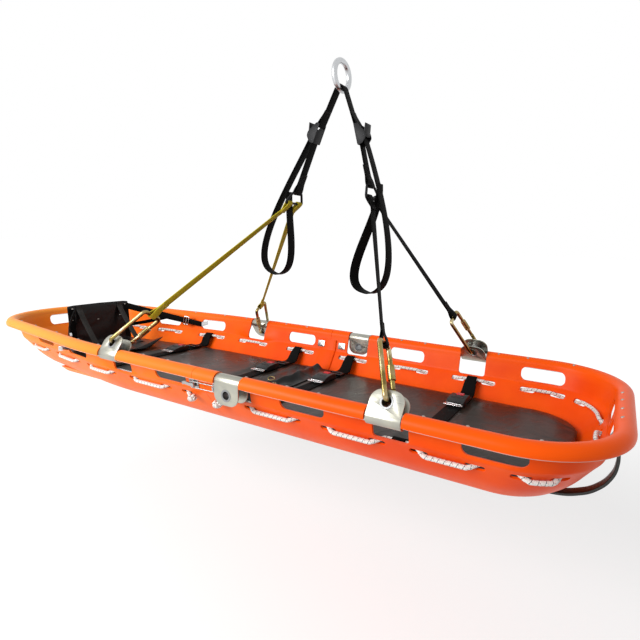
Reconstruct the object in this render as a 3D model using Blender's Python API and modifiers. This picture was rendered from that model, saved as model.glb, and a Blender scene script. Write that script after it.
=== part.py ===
# A two-piece basket stretcher hung level from its four-leg webbing bridle.
# Lengths are metres. While the parts are shaped, X points to the head end from the joint between
# the two halves, Y points away from the viewer's side and Z is up from the rim tube's centre line.
# The last step moves everything so that the world origin is the seat of the master ring.

import math

import bmesh
import bpy
from mathutils import Vector

# Rim tube and hull plan
HALF_WIDTH = 0.295
HEAD_X = 0.885
FOOT_X = -1.135
HEAD_CORNER_R = 0.175
TAPER_X = -0.45
FOOT_ARC_X = -0.94
FOOT_HALF = 0.235
TUBE_R = 0.0125
HEAD_SLOPE = 1.1
FOOT_SLOPE = 2.0
ARC_STEPS = 8

# Shell
SKIN = 0.0045
LIP_GAP = 0.0011
LIP_START = math.radians(-18)
WALL_DEPTH = 0.050
CREASE_INSET = 0.024
ROPE_PANEL = (0.030, 0.058)
BILGE = ((0.062, 0.108), (0.092, 0.138))
FLOOR_INSET = 0.118
FLOOR_DEPTH = 0.145
JOINT_GAP = 0.0010
FLANGE_LAP = 0.024
FLANGE_ROOT = 0.040
FLANGE_T = 0.0040
FLANGE_TOP = -0.014
FLANGE_GAP = 0.0005
FLANGE_BED = SKIN * 0.4
FLANGE_STEP = ((-0.018, 0.0010), (-0.006, FLANGE_GAP + FLANGE_T))
FLANGE_FEATHER = 0.0006
RAIL_Y = HALF_WIDTH - 0.150
RAIL_WIDTH = 0.030
RAIL_DROP = 0.011
RAIL_NOSE = 0.030
RAIL_ENDS = {"head": (0.035, 0.700), "foot": (-0.835, -0.050)}

# Openings in the shell
HAND_HOLE = (0.115, 0.036)
HAND_HOLE_R = 0.0150
HAND_HOLE_Z = -0.0245
HAND_HOLE_X = (-0.765, -0.545, -0.121, 0.286, 0.690)
END_HOLE_Y = {"foot": (0.0,), "head": (-0.070, 0.070)}
END_HOLE_WIDTH = 0.100
WINDOW_WIDTH = 0.077
WINDOW_DEPTH = 0.052
WINDOW_TALL = 0.130
WINDOW_R = 0.008
WALL_LANE = (HALF_WIDTH - 0.105, HALF_WIDTH + 0.045)
END_LANE = {"foot": (FOOT_X - 0.035, FOOT_X + 0.135), "head": (HEAD_X - 0.085, HEAD_X + 0.065)}
SLOT_CUT = 0.018
SCREW_CUT = 0.020
BRACKET_X = {"foot": -0.325, "centre": 0.1065, "head": 0.494}

# Grab rope
ROPE_R = 0.00475
ROPE_Z = -0.067
ROPE_OUT = -0.0058
ROPE_IN = 0.0128
ROPE_PASS = 0.017
SLOT = (0.039, 0.0136)
SLOT_R = 0.0060
HEAD_SLOTS = (0.062, 0.132, 0.255, 0.345, 0.459, 0.548, 0.655, 0.735, 0.800)
HEAD_END_SLOTS = (0.1073237, 0.0323237)
FOOT_SLOTS = (0.078, 0.158, 0.287, 0.388, 0.497, 0.585, 0.708, 0.800, 0.900, 1.020)
KNOT_BACK = 0.027
KNOT_SWELL = 2.1
KNOT_SHOULDER = 1.6
KNOT_HALF = 0.008
KNOT_PUSH = -0.006
ROPE_STRIDE = 0.030
ROPE_TAIL = 0.012

# Mattress
PAD_FLOOR_GAP = 0.0004
PAD_TOP = -0.0975
PAD_CROWN = 0.0030
PAD_SIDE_GAP = 0.0062
PAD_JOINT_GAP = 0.0012
PAD_STEP = 0.0058
PAD_STEP_REACH = {"foot": FLANGE_ROOT + 0.006, "head": FLANGE_LAP + 0.003}
PAD_HEM = (0.0040, 0.0060)
PAD_TUCK = 0.0020
PAD_SIDE_LEVELS = (-FLOOR_DEPTH + SKIN + PAD_FLOOR_GAP + 0.007, -0.118)
PAD_SHOULDER = -0.006
PAD_CROWN_LINE = ((0.003, -0.001), (0.012, 0.0), (0.045, PAD_CROWN * 0.7), (0.090, PAD_CROWN))
TOOL_REACH = 0.010

# Lifting brackets
PLATE_T = 0.0030
BRACKET_GAP = 0.0007
BRACKET_WIDTH = 0.072
BRACKET_REACH = 0.050
BRACKET_BLANK = 0.080
BRACKET_CORNER_R = 0.024
EYE_REACH = 0.027
EYE_R = 0.0095
EYE_PLAY = 0.0006
BUSH_R = 0.0120

# Carabiners
LINK_WIRE_R = 0.0052
CARABINER_WIDTH = 0.052
CARABINER_LENGTH = 0.122
CARABINER_CORNER = 0.009
GATE_SPAN = (0.030, 0.094)
GATE_GAP = 0.0004
GATE_HEEL = (0.0007, 0.0035)
SLEEVE_R = 0.0080
SLEEVE_SPAN = (0.052, 0.084)

# Bridle
RING_X = 0.193
RING_SEAT_Z = 0.700
RING_R = 0.034
RING_WIRE_R = 0.007
STRAP_T = 0.0024
STRAP_LAP_GAP = 0.0004
MAIN_WIDTH = 0.022
LEG_WIDTH = 0.018
LEG_SIDE = 0.0208
EYE_CLEAR = 0.0007
EYE_LAP = 0.050
LINK_LAP = 0.034
LINK_BAR_R = 0.0032
LINK_TOP = 0.036
LINK_BASE = 0.071
LINK_RISE = 0.030
TAIL_END = (0.0275, 0.004)
LINK_FOOT = Vector((0.048, 0.0, 0.418))
LINK_HEAD = Vector((0.292, 0.0, 0.430))
BUCKLE_FOOT = Vector((0.124, 0.0, 0.594))
BUCKLE_HEAD = Vector((0.251, 0.0, 0.582))
EYE_MOUTH = 0.028
EYE_THROAT = 0.012
EYE_BULGE = 0.75
LINK_CORNER = (0.003, 0.004)
TAIL_LAP = 0.052
TAIL_MOUTH = 0.026
TAIL_THROAT = (0.010, 0.011)
TAIL_ENTRY = 0.030
TAIL_EXIT = 0.010
TAIL_DROP = 0.10
TAIL_SPREAD = (0.010, 2.1, 1.5, 0.004)
TAIL_ROUND = (0.02, 0.01)
MASTER_LAP = 0.040
MASTER_CLEAR = 0.0032

# Cam buckles: u runs down the strap and v to the lever's side
ROLLER_R = 0.0040
ROLLER_U = -0.002
BUCKLE_HALF = 0.0160
CHEEK_T = 0.0016
CHEEK_OUTLINE = ((-0.026, -0.0055), (0.026, -0.0055), (0.026, 0.008), (0.014, 0.021), (0.002, 0.021),
                 (-0.026, 0.004))
BUCKLE_PLATE = ((-0.010, 0.0255), (-0.0052, -0.0036))
BUCKLE_BAR_AT = (-0.021, -0.0005)
BUCKLE_BAR_R = 0.0026
BUCKLE_FIT = (0.0004, 0.0005)
LEVER_HINGE = (0.008, 0.0165)
LEVER_OUTLINE = ((0.0105, 0.0146), (0.0120, 0.0178), (0.008, 0.0205), (0.000, 0.0215), (-0.018, 0.0275),
                 (-0.0185, 0.0255), (-0.002, 0.0185), (0.0045, 0.0145), (0.008, 0.0137))

# Patient belts, each as (X of its line across, buckle's distance in from the rim)
BELTS = ((-0.541, 0.210), (-0.118, 0.210), (0.097, 0.205), (0.503, 0.170))
BELT_WIDTH = 0.040
BELT_EYE_WIDTH = 0.028
BELT_EYE_SWEEP = (-115, 255)
BELT_NECK = (0.016, -0.006, 0.034)
BELT_LANDINGS = ((0.087, 0.003), (0.115, 0.0), (0.160, 0.0), (0.235, 0.0))
BELT_T = 0.0020
BELT_EYE_CLEAR = 0.0010
BELT_REST = 0.0006
BUCKLE_REST = 0.0005
BUTTON_GAP = 0.0004
BUTTON_MARGIN = 0.006
BUTTON_POCKET = 0.0105
BUTTON_PROUD = 0.0012
BELT_BUCKLE = (0.046, 0.062, 0.017)
BUTTON = (0.020, 0.015, 0.0085)
BUTTON_TRAVEL = 0.003

# Toggle latches over the joint
LATCH_Z = -0.031
LATCH_PLATE = (0.030, 0.026, 0.0020)
LATCH_FOOT_X = -0.034
LATCH_HEAD_X = 0.046
LEVER_PIVOT = (-0.030, 0.0085)
BAIL_ARM = 0.008
BAIL_WIRE_R = 0.0014
SCREW_R = 0.0022
SCREW_HOLE_R = 0.0029
SCREW_PITCH = 0.011
BACKING_HALF = (0.013, 0.0105)
LATCH_OFF = 0.0003
EAR_SPAN = (0.0045, 0.0062)
EAR_PROFILE = ((-0.0055, 0.0050), 0.0030)
LEVER_HALF = 0.0042
BACKING_OFF = {"base": 0.0036, "keeper": 0.0006}
SCREW_PROUD = 0.0008
HOOK_U = (-0.0115, -0.0085)
HOOK_TOP = 0.0085
HOOK_HALF = 0.0050
ARM_OUTLINE = ((0.0035, -0.0030), (0.0035, 0.0030), (-0.0100, 0.0030), (-0.0300, 0.0010), (-0.0340, 0.0040),
               (-0.0350, 0.0030), (-0.0310, -0.0012), (-0.0120, -0.0005), (-0.0115, -0.0030))
BAIL_V = 0.0062
BAIL_GAP = (0.0004, 0.0005)
BAIL_BEND = 0.002

# Foot rest
REST_X = -0.850
REST_HALF = HALF_WIDTH - 0.180
REST_TOP = 0.062
REST_BASE = 0.215
REST_T = 0.008
REST_GAP = 0.0006
REST_FOLD = ((0.014, 0.0), (0.003, 0.005), (0.0, 0.016))
REST_LEAN = 0.012
TIE_START = (0.006, 0.016, 0.020)
TIE_HOLE_X = -0.585
TIE_SAG = 0.006
TIE_TURN = 1.6
TIE_WIDTHS = (0.025, 0.025, 0.022, 0.016, 0.014, 0.014, 0.014)
TIE_HOOK = ((-0.030, 0.0060), (-0.014, 0.0064), (-0.004, 0.0066), (0.0038, 0.0054), (0.0064, -0.0030))

# Skid under the head end
SKID_Y = HALF_WIDTH - 0.185
SKID_WIDTH = 0.025
SKID_T = 0.006
SKID_GAP = 0.0005
SKID_TOP = ((-0.011, -0.0195), (-0.0055, -0.050), (-0.009, -0.080), (-0.023, -0.106), (-0.047, -0.128),
            (-0.085, -0.144))
SKID_SOLE = (-0.125, -0.245)
SKID_CROSS = (-0.230, 0.0125, 0.0002)

ORIGIN = Vector((RING_X, 0.0, RING_SEAT_Z))
SIDES = {"near": -1, "far": 1}

for old in list(bpy.data.objects):
    bpy.data.objects.remove(old, do_unlink=True)

parts = bpy.data.collections.new("basket_stretcher")
tools = bpy.data.collections.new("construction_solids")
bpy.context.scene.collection.children.link(parts)
bpy.context.scene.collection.children.link(tools)


# Mesh and material helpers
def paint(obj, colour, rough, metal):
    mat = bpy.data.materials.new(obj.name + "_material")
    mat.use_nodes = True
    shader = mat.node_tree.nodes["Principled BSDF"]
    shader.inputs["Base Color"].default_value = (*colour, 1.0)
    shader.inputs["Roughness"].default_value = rough
    shader.inputs["Metallic"].default_value = metal
    obj.data.materials.clear()
    obj.data.materials.append(mat)
    return obj


def solid(name, verts, faces, pivot=(0.0, 0.0, 0.0), tool=False, closed=True):
    """A mesh object with its origin at pivot; closed bodies get outward faces."""
    pivot = Vector(pivot)
    mesh = bpy.data.meshes.new(name)
    mesh.from_pydata([Vector(v) - pivot for v in verts], [], faces)
    mesh.validate()
    if closed:
        work = bmesh.new()
        work.from_mesh(mesh)
        bmesh.ops.recalc_face_normals(work, faces=work.faces)
        work.to_mesh(mesh)
        work.free()
    obj = bpy.data.objects.new(name, mesh)
    obj.location = pivot
    (tools if tool else parts).objects.link(obj)
    if tool:
        obj.hide_render = True
        obj.display_type = "WIRE"
    return obj


def boolean(obj, tool, operation):
    mod = obj.modifiers.new(operation.lower() + "_" + tool.name, "BOOLEAN")
    mod.operation = operation
    mod.solver = "EXACT"
    mod.object = tool
    return obj


def bevel(obj, width, segments=2):
    mod = obj.modifiers.new("edge_round", "BEVEL")
    mod.width = width
    mod.segments = segments
    mod.limit_method = "ANGLE"
    mod.angle_limit = math.radians(40)
    return obj


def smooth(obj, angle=35):
    obj.data.shade_smooth()
    obj.data.set_sharp_from_angle(angle=math.radians(angle))
    return obj


def stitch(loops, first_cap=True, last_cap=True, closed=True):
    """Verts and faces of a skin through loops of equal length."""
    count = len(loops[0])
    verts = [Vector(p) for loop in loops for p in loop]
    faces = []
    around = count if closed else count - 1
    for row in range(len(loops) - 1):
        base = row * count
        for i in range(around):
            j = (i + 1) % count
            faces.append((base + i, base + j, base + count + j, base + count + i))
    if first_cap:
        faces.append(tuple(reversed(range(count))))
    if last_cap:
        faces.append(tuple(range((len(loops) - 1) * count, len(loops) * count)))
    return verts, faces


def gather(pieces):
    """One vertex and face list from several closed bodies."""
    verts = []
    faces = []
    for piece_verts, piece_faces in pieces:
        start = len(verts)
        verts.extend(piece_verts)
        faces.extend(tuple(i + start for i in face) for face in piece_faces)
    return verts, faces


class Frame:
    """A right-handed local frame: u along a piece, v through its thickness, w across it."""

    def __init__(self, origin, u, w):
        self.o = Vector(origin)
        self.u = Vector(u).normalized()
        self.w = (Vector(w) - self.u * Vector(w).dot(self.u)).normalized()
        self.v = self.w.cross(self.u)

    def at(self, u=0.0, v=0.0, w=0.0):
        return self.o + self.u * u + self.v * v + self.w * w


def block(frame, us, vs, ws):
    return prism(frame, ((us[0], vs[0]), (us[1], vs[0]), (us[1], vs[1]), (us[0], vs[1])), ws)


def drum(frame, radius, ws, sides=12):
    """A cylinder along w centred on the frame's origin."""
    turn = [2 * math.pi * i / sides for i in range(sides)]
    return stitch([[frame.at(radius * math.cos(a), radius * math.sin(a), w) for a in turn] for w in ws])


def rounded(size_u, size_v, radius, steps=4):
    """Corners of a rounded rectangle about the origin, anticlockwise."""
    pts = []
    for quarter, (sx, sy) in enumerate(((1, 1), (-1, 1), (-1, -1), (1, -1))):
        cx = sx * (size_u / 2 - radius)
        cy = sy * (size_v / 2 - radius)
        for i in range(steps + 1):
            a = (quarter + i / steps) * math.pi / 2
            pts.append((cx + radius * math.cos(a), cy + radius * math.sin(a)))
    return pts


def prism(frame, outline_uv, ws):
    return stitch([[frame.at(u, v, w) for u, v in outline_uv] for w in ws])


def rod(name, points, radius, swell=None, closed=False, resolution=1, pivot=(0.0, 0.0, 0.0), tool=False):
    """A round bar or cord along a list of points."""
    curve = bpy.data.curves.new(name, "CURVE")
    curve.dimensions = "3D"
    curve.bevel_depth = radius
    curve.bevel_resolution = resolution
    curve.use_fill_caps = not closed
    spline = curve.splines.new("POLY")
    spline.points.add(len(points) - 1)
    spline.use_cyclic_u = closed
    pivot = Vector(pivot)
    for i, p in enumerate(points):
        spline.points[i].co = (*(Vector(p) - pivot), 1.0)
        spline.points[i].radius = swell[i] if swell else 1.0
    holder = bpy.data.objects.new(name + "_path", curve)
    parts.objects.link(holder)
    bpy.context.view_layer.update()
    graph = bpy.context.evaluated_depsgraph_get()
    mesh = bpy.data.meshes.new_from_object(holder.evaluated_get(graph))
    bpy.data.objects.remove(holder, do_unlink=True)
    obj = bpy.data.objects.new(name, mesh)
    obj.location = pivot
    (tools if tool else parts).objects.link(obj)
    if tool:
        obj.hide_render = True
        obj.display_type = "WIRE"
    weld = obj.modifiers.new("close_caps", "WELD")
    weld.merge_threshold = 0.00005
    return smooth(obj, 50)


def ribbon(name, points, across, width, thick, pivot=(0.0, 0.0, 0.0), tool=False):
    """Flat webbing through points; across holds the width direction and width may vary."""
    loops = []
    last = len(points) - 1
    for i, p in enumerate(points):
        run = (points[min(i + 1, last)] - points[max(i - 1, 0)]).normalized()
        side = across[i] if isinstance(across, list) else Vector(across)
        side = (side - run * side.dot(run)).normalized()
        up = side.cross(run)
        half = (width[i] if isinstance(width, list) else width) / 2
        before = (p - points[i - 1]).normalized() if i else run
        after = (points[i + 1] - p).normalized() if i < last else run
        stretch = 1 / max(0.6, math.sqrt((1 + before.dot(after)) / 2))
        lift = up * thick / 2 * stretch
        left, right = p + side * half, p - side * half
        loops.append([left + lift, right + lift, right - lift, left - lift])
    verts, faces = stitch(loops)
    return smooth(solid(name, verts, faces, pivot, tool), 50)


def bezier(a, b, c, d, steps):
    """Points along a cubic curve from a to d."""
    out = []
    for i in range(steps + 1):
        t = i / steps
        s = 1 - t
        out.append(a * s ** 3 + b * 3 * s * s * t + c * 3 * s * t * t + d * t ** 3)
    return out


# Hull plan and section
LIP_R = TUBE_R + LIP_GAP


def run(end, inset, z, start=JOINT_GAP / 2):
    """Plan outline of one half at an inset and height, from the near joint round its end."""
    under = max(0.0, inset - LIP_R)
    flat = inset - under
    half = HALF_WIDTH - inset
    quarter = []
    if end == "head":
        tip = HEAD_X - flat - HEAD_SLOPE * under
        corner = HEAD_CORNER_R - flat - 0.6 * under
        quarter.append(Vector((start, -half, z)))
        for i in range(ARC_STEPS + 1):
            a = math.pi / 2 * i / ARC_STEPS
            bend_x = tip - corner + corner * math.sin(a)
            bend_y = half - corner + corner * math.cos(a)
            quarter.append(Vector((bend_x, -bend_y, z)))
        quarter.append(Vector((tip, 0.0, z)))
    else:
        tip = FOOT_X + flat + FOOT_SLOPE * under
        arc_x = FOOT_ARC_X + 0.9 * under
        arc_y = FOOT_HALF - flat - 0.9 * under
        quarter.append(Vector((-start, -half, z)))
        quarter.append(Vector((TAPER_X, -half, z)))
        for i in range(ARC_STEPS + 3):
            a = math.pi / 2 * i / (ARC_STEPS + 2)
            quarter.append(Vector((arc_x + (tip - arc_x) * math.sin(a), -arc_y * math.cos(a), z)))
    mirrored = [Vector((p.x, -p.y, p.z)) for p in reversed(quarter[:-1])]
    quarter[-1].y = 0.0
    return quarter + mirrored


def section():
    """The shell's tube-side and outer face as (inset, height) from the lip edge to the floor."""
    pts = []
    for i in range(7):
        a = LIP_START + (math.pi - LIP_START) * i / 6
        pts.append((-LIP_R * math.cos(a), LIP_R * math.sin(a)))
    pts.append((CREASE_INSET, -WALL_DEPTH))
    pts.append((ROPE_PANEL[0], -ROPE_PANEL[1]))
    pts.extend((inset, -depth) for inset, depth in BILGE)
    pts.append((FLOOR_INSET, -FLOOR_DEPTH))
    return pts


SECTION = section()


def wall_inset(z):
    """Inset of the shell's outer face at a height below the rim."""
    below = SECTION[6:]
    for (d0, z0), (d1, z1) in zip(below, below[1:]):
        if z >= z1:
            return d0 + (d1 - d0) * (z0 - z) / (z0 - z1)
    return below[-1][0]


def inward(path, distance):
    """A section path moved off its outer face toward the patient."""
    out = []
    for i, (d, z) in enumerate(path):
        d0, z0 = path[max(i - 1, 0)]
        d1, z1 = path[min(i + 1, len(path) - 1)]
        step = math.hypot(d1 - d0, z1 - z0)
        nd, nz = -(z1 - z0) / step, (d1 - d0) / step
        inner = 1.0
        if 0 < i < len(path) - 1:
            a0 = math.atan2(path[i][1] - z0, path[i][0] - d0)
            a1 = math.atan2(z1 - path[i][1], d1 - path[i][0])
            inner = 1 / math.cos((a1 - a0) / 2)
        out.append((d + nd * distance * inner, z + nz * distance * inner))
    return out


class WallRun:
    """Positions along the rope line of one half, measured from the near joint."""

    def __init__(self, end):
        self.low = run(end, wall_inset(ROPE_Z), ROPE_Z, 0.0)
        self.high = run(end, wall_inset(ROPE_Z + 0.01), ROPE_Z + 0.01, 0.0)
        self.marks = [0.0]
        for a, b in zip(self.low, self.low[1:]):
            self.marks.append(self.marks[-1] + (b - a).length)
        self.length = self.marks[-1]
        self.turn = 1 if end == "head" else -1

    def frame(self, s):
        s = min(max(s, 0.0), self.length - 1e-6)
        k = max(i for i, m in enumerate(self.marks) if m <= s)
        t = (s - self.marks[k]) / (self.marks[k + 1] - self.marks[k])
        p = self.low[k].lerp(self.low[k + 1], t)
        side = (self.low[k + 1] - self.low[k]).normalized() * self.turn
        up = self.high[k].lerp(self.high[k + 1], t) - p
        up = (up - side * up.dot(side)).normalized()
        return Frame(p, up, up.cross(side))


def rope_slots(end):
    """Slot places on one half; the head end's own slots are measured from its middle."""
    wall = WallRun(end)
    near = list(FOOT_SLOTS)
    if end == "head":
        near = list(HEAD_SLOTS) + [wall.length / 2 - away for away in HEAD_END_SLOTS]
    return wall, near + [wall.length - s for s in reversed(near)]


# Shell halves: vacuum-formed skins with hand holes, bracket windows and rope slots
def rail_body(end, side):
    x0, x1 = RAIL_ENDS[end]
    low = FLOOR_DEPTH + RAIL_DROP
    top = FLOOR_DEPTH - SKIN / 2
    y = side * RAIL_Y
    keel = [(x0, top), (x0 + RAIL_NOSE, low), (x1 - RAIL_NOSE, low), (x1, top)]
    return stitch([[Vector((x, yy, -z)) for x, z in keel] for yy in (y - RAIL_WIDTH / 2, y + RAIL_WIDTH / 2)])


def openings(end):
    """Every cutter body of one half."""
    bodies = []
    sign = 1 if end == "head" else -1
    for side in SIDES.values():
        walls = sorted((side * WALL_LANE[0], side * WALL_LANE[1]))
        for x in HAND_HOLE_X:
            if x * sign < 0:
                continue
            lane = Frame((x, 0, HAND_HOLE_Z), (1, 0, 0), (0, 1, 0))
            bodies.append(prism(lane, rounded(HAND_HOLE[0], HAND_HOLE[1], HAND_HOLE_R, 3), walls))
        for x in BRACKET_X.values():
            if x * sign < 0:
                continue
            lane = Frame((x, 0, WINDOW_TALL / 2 - WINDOW_DEPTH), (1, 0, 0), (0, 1, 0))
            bodies.append(prism(lane, rounded(WINDOW_WIDTH, WINDOW_TALL, WINDOW_R, 2), walls))
        wall = latch_frame(side)
        x = LATCH_HEAD_X if end == "head" else LATCH_FOOT_X
        for dw in (-SCREW_PITCH / 2, SCREW_PITCH / 2):
            hole = Frame(wall.at(x, 0.0, dw), wall.u, wall.v)
            bodies.append(drum(hole, SCREW_HOLE_R, (-SCREW_CUT, SCREW_CUT), 6))
    for y in END_HOLE_Y[end]:
        lane = Frame((0, y, HAND_HOLE_Z), (0, 1, 0), (1, 0, 0))
        bodies.append(prism(lane, rounded(END_HOLE_WIDTH, HAND_HOLE[1], HAND_HOLE_R, 3), END_LANE[end]))
    wall, slots = rope_slots(end)
    for s in slots:
        here = wall.frame(s)
        lane = Frame(here.o, here.u.cross(here.w), here.w)
        bodies.append(prism(lane, rounded(SLOT[0], SLOT[1], SLOT_R, 1), (-SLOT_CUT, SLOT_CUT)))
    return bodies


def latch_frame(side):
    """On the outer wall at the joint: u toward the head, v outward, w along the wall's slope."""
    rise = math.atan2(CREASE_INSET - LIP_R, WALL_DEPTH)
    slope = Vector((0.0, math.sin(rise), side * math.cos(rise)))
    return Frame((0.0, side * (HALF_WIDTH - wall_inset(LATCH_Z)), LATCH_Z), (1, 0, 0), slope)


def flange():
    """The foot half's joggled lap that slides inside the head half."""
    path = SECTION[6:]
    face = [(wall_inset(FLANGE_TOP), FLANGE_TOP)] + path[1:]
    loops = []
    (ramp_x, ramp_rise), (lap_x, lap_rise) = FLANGE_STEP
    stations = ((-FLANGE_ROOT, FLANGE_BED, SKIN + FLANGE_FEATHER), (ramp_x, FLANGE_BED, SKIN + ramp_rise),
                (lap_x, SKIN + FLANGE_GAP, SKIN + lap_rise), (FLANGE_LAP, SKIN + FLANGE_GAP, SKIN + lap_rise))
    for x, outer, inner in stations:
        near = [(-(HALF_WIDTH - d), z) for d, z in inward(face, outer)]
        back = [(-(HALF_WIDTH - d), z) for d, z in inward(face, inner)]
        outside = near + [(-y, z) for y, z in reversed(near)]
        inside = back + [(-y, z) for y, z in reversed(back)]
        loops.append([Vector((x, y, z)) for y, z in outside + list(reversed(inside))])
    return stitch(loops)


def shell(end, colour):
    loops = [run(end, d, z) for d, z in SECTION]
    verts, faces = stitch(loops, first_cap=False, last_cap=True, closed=False)
    if end == "foot":
        faces = [tuple(reversed(face)) for face in faces]
    obj = solid(end + "_shell", verts, faces, closed=False)
    skin = obj.modifiers.new("skin", "SOLIDIFY")
    skin.thickness = SKIN
    skin.offset = 1.0
    skin.use_even_offset = True
    for side_name, side in SIDES.items():
        boolean(obj, solid(f"{end}_rail_{side_name}", *rail_body(end, side), tool=True), "UNION")
    if end == "foot":
        boolean(obj, solid("joint_flange", *flange(), tool=True), "UNION")
    boolean(obj, solid(end + "_openings", *gather(openings(end)), tool=True), "DIFFERENCE")
    smooth(obj, 32)
    return paint(obj, colour, 0.35, 0.0)


shell("head", (0.95, 0.16, 0.01))
shell("foot", (0.95, 0.19, 0.02))

# Rim tubes: each half has its own bent tube; the foot tube's spigots plug into the head tube
SPIGOT_R = 0.0080
SPIGOT_LENGTH = 0.042
for end in ("head", "foot"):
    tube = rod(end + "_rim_tube", run(end, 0.0, 0.0), TUBE_R, resolution=3)
    spigots = []
    for side in SIDES.values():
        socket = Frame((0, side * HALF_WIDTH, 0), (0, 1, 0), (1, 0, 0))
        if end == "head":
            spigots.append(drum(socket, SPIGOT_R + 0.0004, (-0.004, SPIGOT_LENGTH + 0.002)))
        else:
            spigots.append(drum(socket, SPIGOT_R, (-0.008, SPIGOT_LENGTH)))
    tool = solid(end + "_sockets", *gather(spigots), tool=True)
    boolean(tube, tool, "DIFFERENCE" if end == "head" else "UNION")
    paint(tube, (0.62, 0.62, 0.64), 0.3, 1.0)


# Mattress halves: thin vinyl-covered foam, crowned on top and drawn in at its edges
def pad(end):
    floor_z = -FLOOR_DEPTH + SKIN + PAD_FLOOR_GAP
    face = inward(SECTION[8:], SKIN + PAD_SIDE_GAP)

    def side_inset(z):
        for (d0, z0), (d1, z1) in zip(face, face[1:]):
            if z >= z1:
                return d0 + (d1 - d0) * (z0 - z) / (z0 - z1)
        return face[-1][0] + PAD_TUCK

    levels = [(side_inset(floor_z + PAD_HEM[0]) + PAD_HEM[1], floor_z)]
    levels += [(side_inset(z), z) for z in (*PAD_SIDE_LEVELS, PAD_TOP + PAD_SHOULDER)]
    edge = levels[-1][0]
    levels += [(edge + inset, PAD_TOP + rise) for inset, rise in PAD_CROWN_LINE]
    loops = [run(end, d, z, PAD_JOINT_GAP) for d, z in levels]
    verts, faces = stitch(loops)
    if end == "head":
        faces = [tuple(reversed(face)) for face in faces]
    obj = solid(end + "_mattress", verts, faces)
    reach = PAD_STEP_REACH[end]
    spans = (-reach, TOOL_REACH) if end == "foot" else (-TOOL_REACH, reach)
    plain = Frame((0, 0, 0), (1, 0, 0), (0, 1, 0))
    depths = sorted((-(floor_z - TOOL_REACH), -(floor_z + PAD_STEP)))
    step = block(plain, spans, depths, (-HALF_WIDTH, HALF_WIDTH))
    boolean(obj, solid(end + "_pad_step", *step, tool=True), "DIFFERENCE")
    smooth(obj, 40)
    return paint(obj, (0.05, 0.04, 0.035), 0.3, 0.0)


pad("head")
pad("foot")


# Grab ropes: one per half, laced out and in through the slots, with a stopper knot at each end
def lace(end):
    wall, slots = rope_slots(end)
    knots = (slots[0] - KNOT_BACK, wall.length - slots[0] + KNOT_BACK)

    def offset(s):
        value = ROPE_OUT
        step = ROPE_IN - ROPE_OUT
        for c in slots:
            t = min(max((s - c + ROPE_PASS) / (2 * ROPE_PASS), 0.0), 1.0)
            value += step * t * t * (3 - 2 * t)
            step = -step
        return value

    marks = {knots[0] - ROPE_TAIL, knots[1] + ROPE_TAIL}
    for c in slots:
        marks.update((c - ROPE_PASS, c - ROPE_PASS / 3, c + ROPE_PASS / 3, c + ROPE_PASS))
    for k in knots:
        marks.update((k - KNOT_HALF, k, k + KNOT_HALF))
    marks = sorted(marks)
    for a, b in list(zip(marks, marks[1:])):
        extra = int((b - a) / ROPE_STRIDE)
        marks += [a + (b - a) * k / (extra + 1) for k in range(1, extra + 1)]
    points = []
    swell = []
    for s in sorted(marks):
        here = wall.frame(s)
        away = min(abs(s - k) for k in knots)
        behind = s < knots[0] or s > knots[1]
        push = KNOT_PUSH if away <= KNOT_HALF * 1.01 or behind else 0.0
        points.append(here.o + here.w * (offset(s) + push))
        swell.append(KNOT_SWELL if away < 0.001 else KNOT_SHOULDER if away <= KNOT_HALF * 1.01 else 1.0)
    rope = rod(end + "_rope", points, ROPE_R, swell)
    return paint(rope, (0.85, 0.85, 0.86), 0.8, 0.0)


lace("head")
lace("foot")


# Lifting brackets: a folded plate round the rim tube with a bushed eye between its two leaves
def bracket(name, x, side, lean):
    """lean is the angle of the leaves from straight up, positive toward the inside."""
    up = Vector((0.0, -side * math.sin(lean), math.cos(lean)))
    seat = Vector((x, side * HALF_WIDTH, 0.0))
    frame = Frame(seat, up, (1, 0, 0))
    inner = TUBE_R + BRACKET_GAP
    outer = inner + PLATE_T
    bend = [math.pi * i / 7 for i in range(8)]
    hollow = [(-inner * math.sin(a), inner * math.cos(a)) for a in bend]
    back = [(-outer * math.sin(a), outer * math.cos(a)) for a in reversed(bend)]
    half = BRACKET_WIDTH / 2
    tips = [(BRACKET_REACH, -inner), (BRACKET_REACH, -outer)]
    outline_uv = [(BRACKET_REACH, inner)] + hollow + tips + back + [(BRACKET_REACH, outer)]
    obj = solid(name, *prism(frame, outline_uv, (-half, half)), pivot=seat)
    through = Frame(seat, up, frame.v)
    blank = rounded(2 * BRACKET_BLANK, BRACKET_WIDTH, BRACKET_CORNER_R, 3)
    corner = [(u - BRACKET_BLANK + BRACKET_REACH, v) for u, v in blank]
    boolean(obj, solid(name + "_outline", *prism(through, corner, (-0.03, 0.03)), tool=True), "INTERSECT")
    eye = Frame(frame.at(EYE_REACH), (1, 0, 0), frame.v)
    bush = drum(eye, BUSH_R, (-inner - PLATE_T / 2, inner + PLATE_T / 2), 14)
    boolean(obj, solid(name + "_bush", *bush, tool=True), "UNION")
    boolean(obj, solid(name + "_eye", *drum(eye, EYE_R, (-0.03, 0.03), 14), tool=True), "DIFFERENCE")
    smooth(obj, 32)
    paint(obj, (0.56, 0.55, 0.50), 0.32, 1.0)
    return frame


def leg_target(end, side):
    link = LINK_FOOT if end == "foot" else LINK_HEAD
    return link + Vector((0.0, side * LEG_SIDE, 0.0))


def leg_lean(end, side):
    goal = leg_target(end, side)
    return math.atan2(HALF_WIDTH - side * goal.y, goal.z)


HANGING = math.pi


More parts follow.
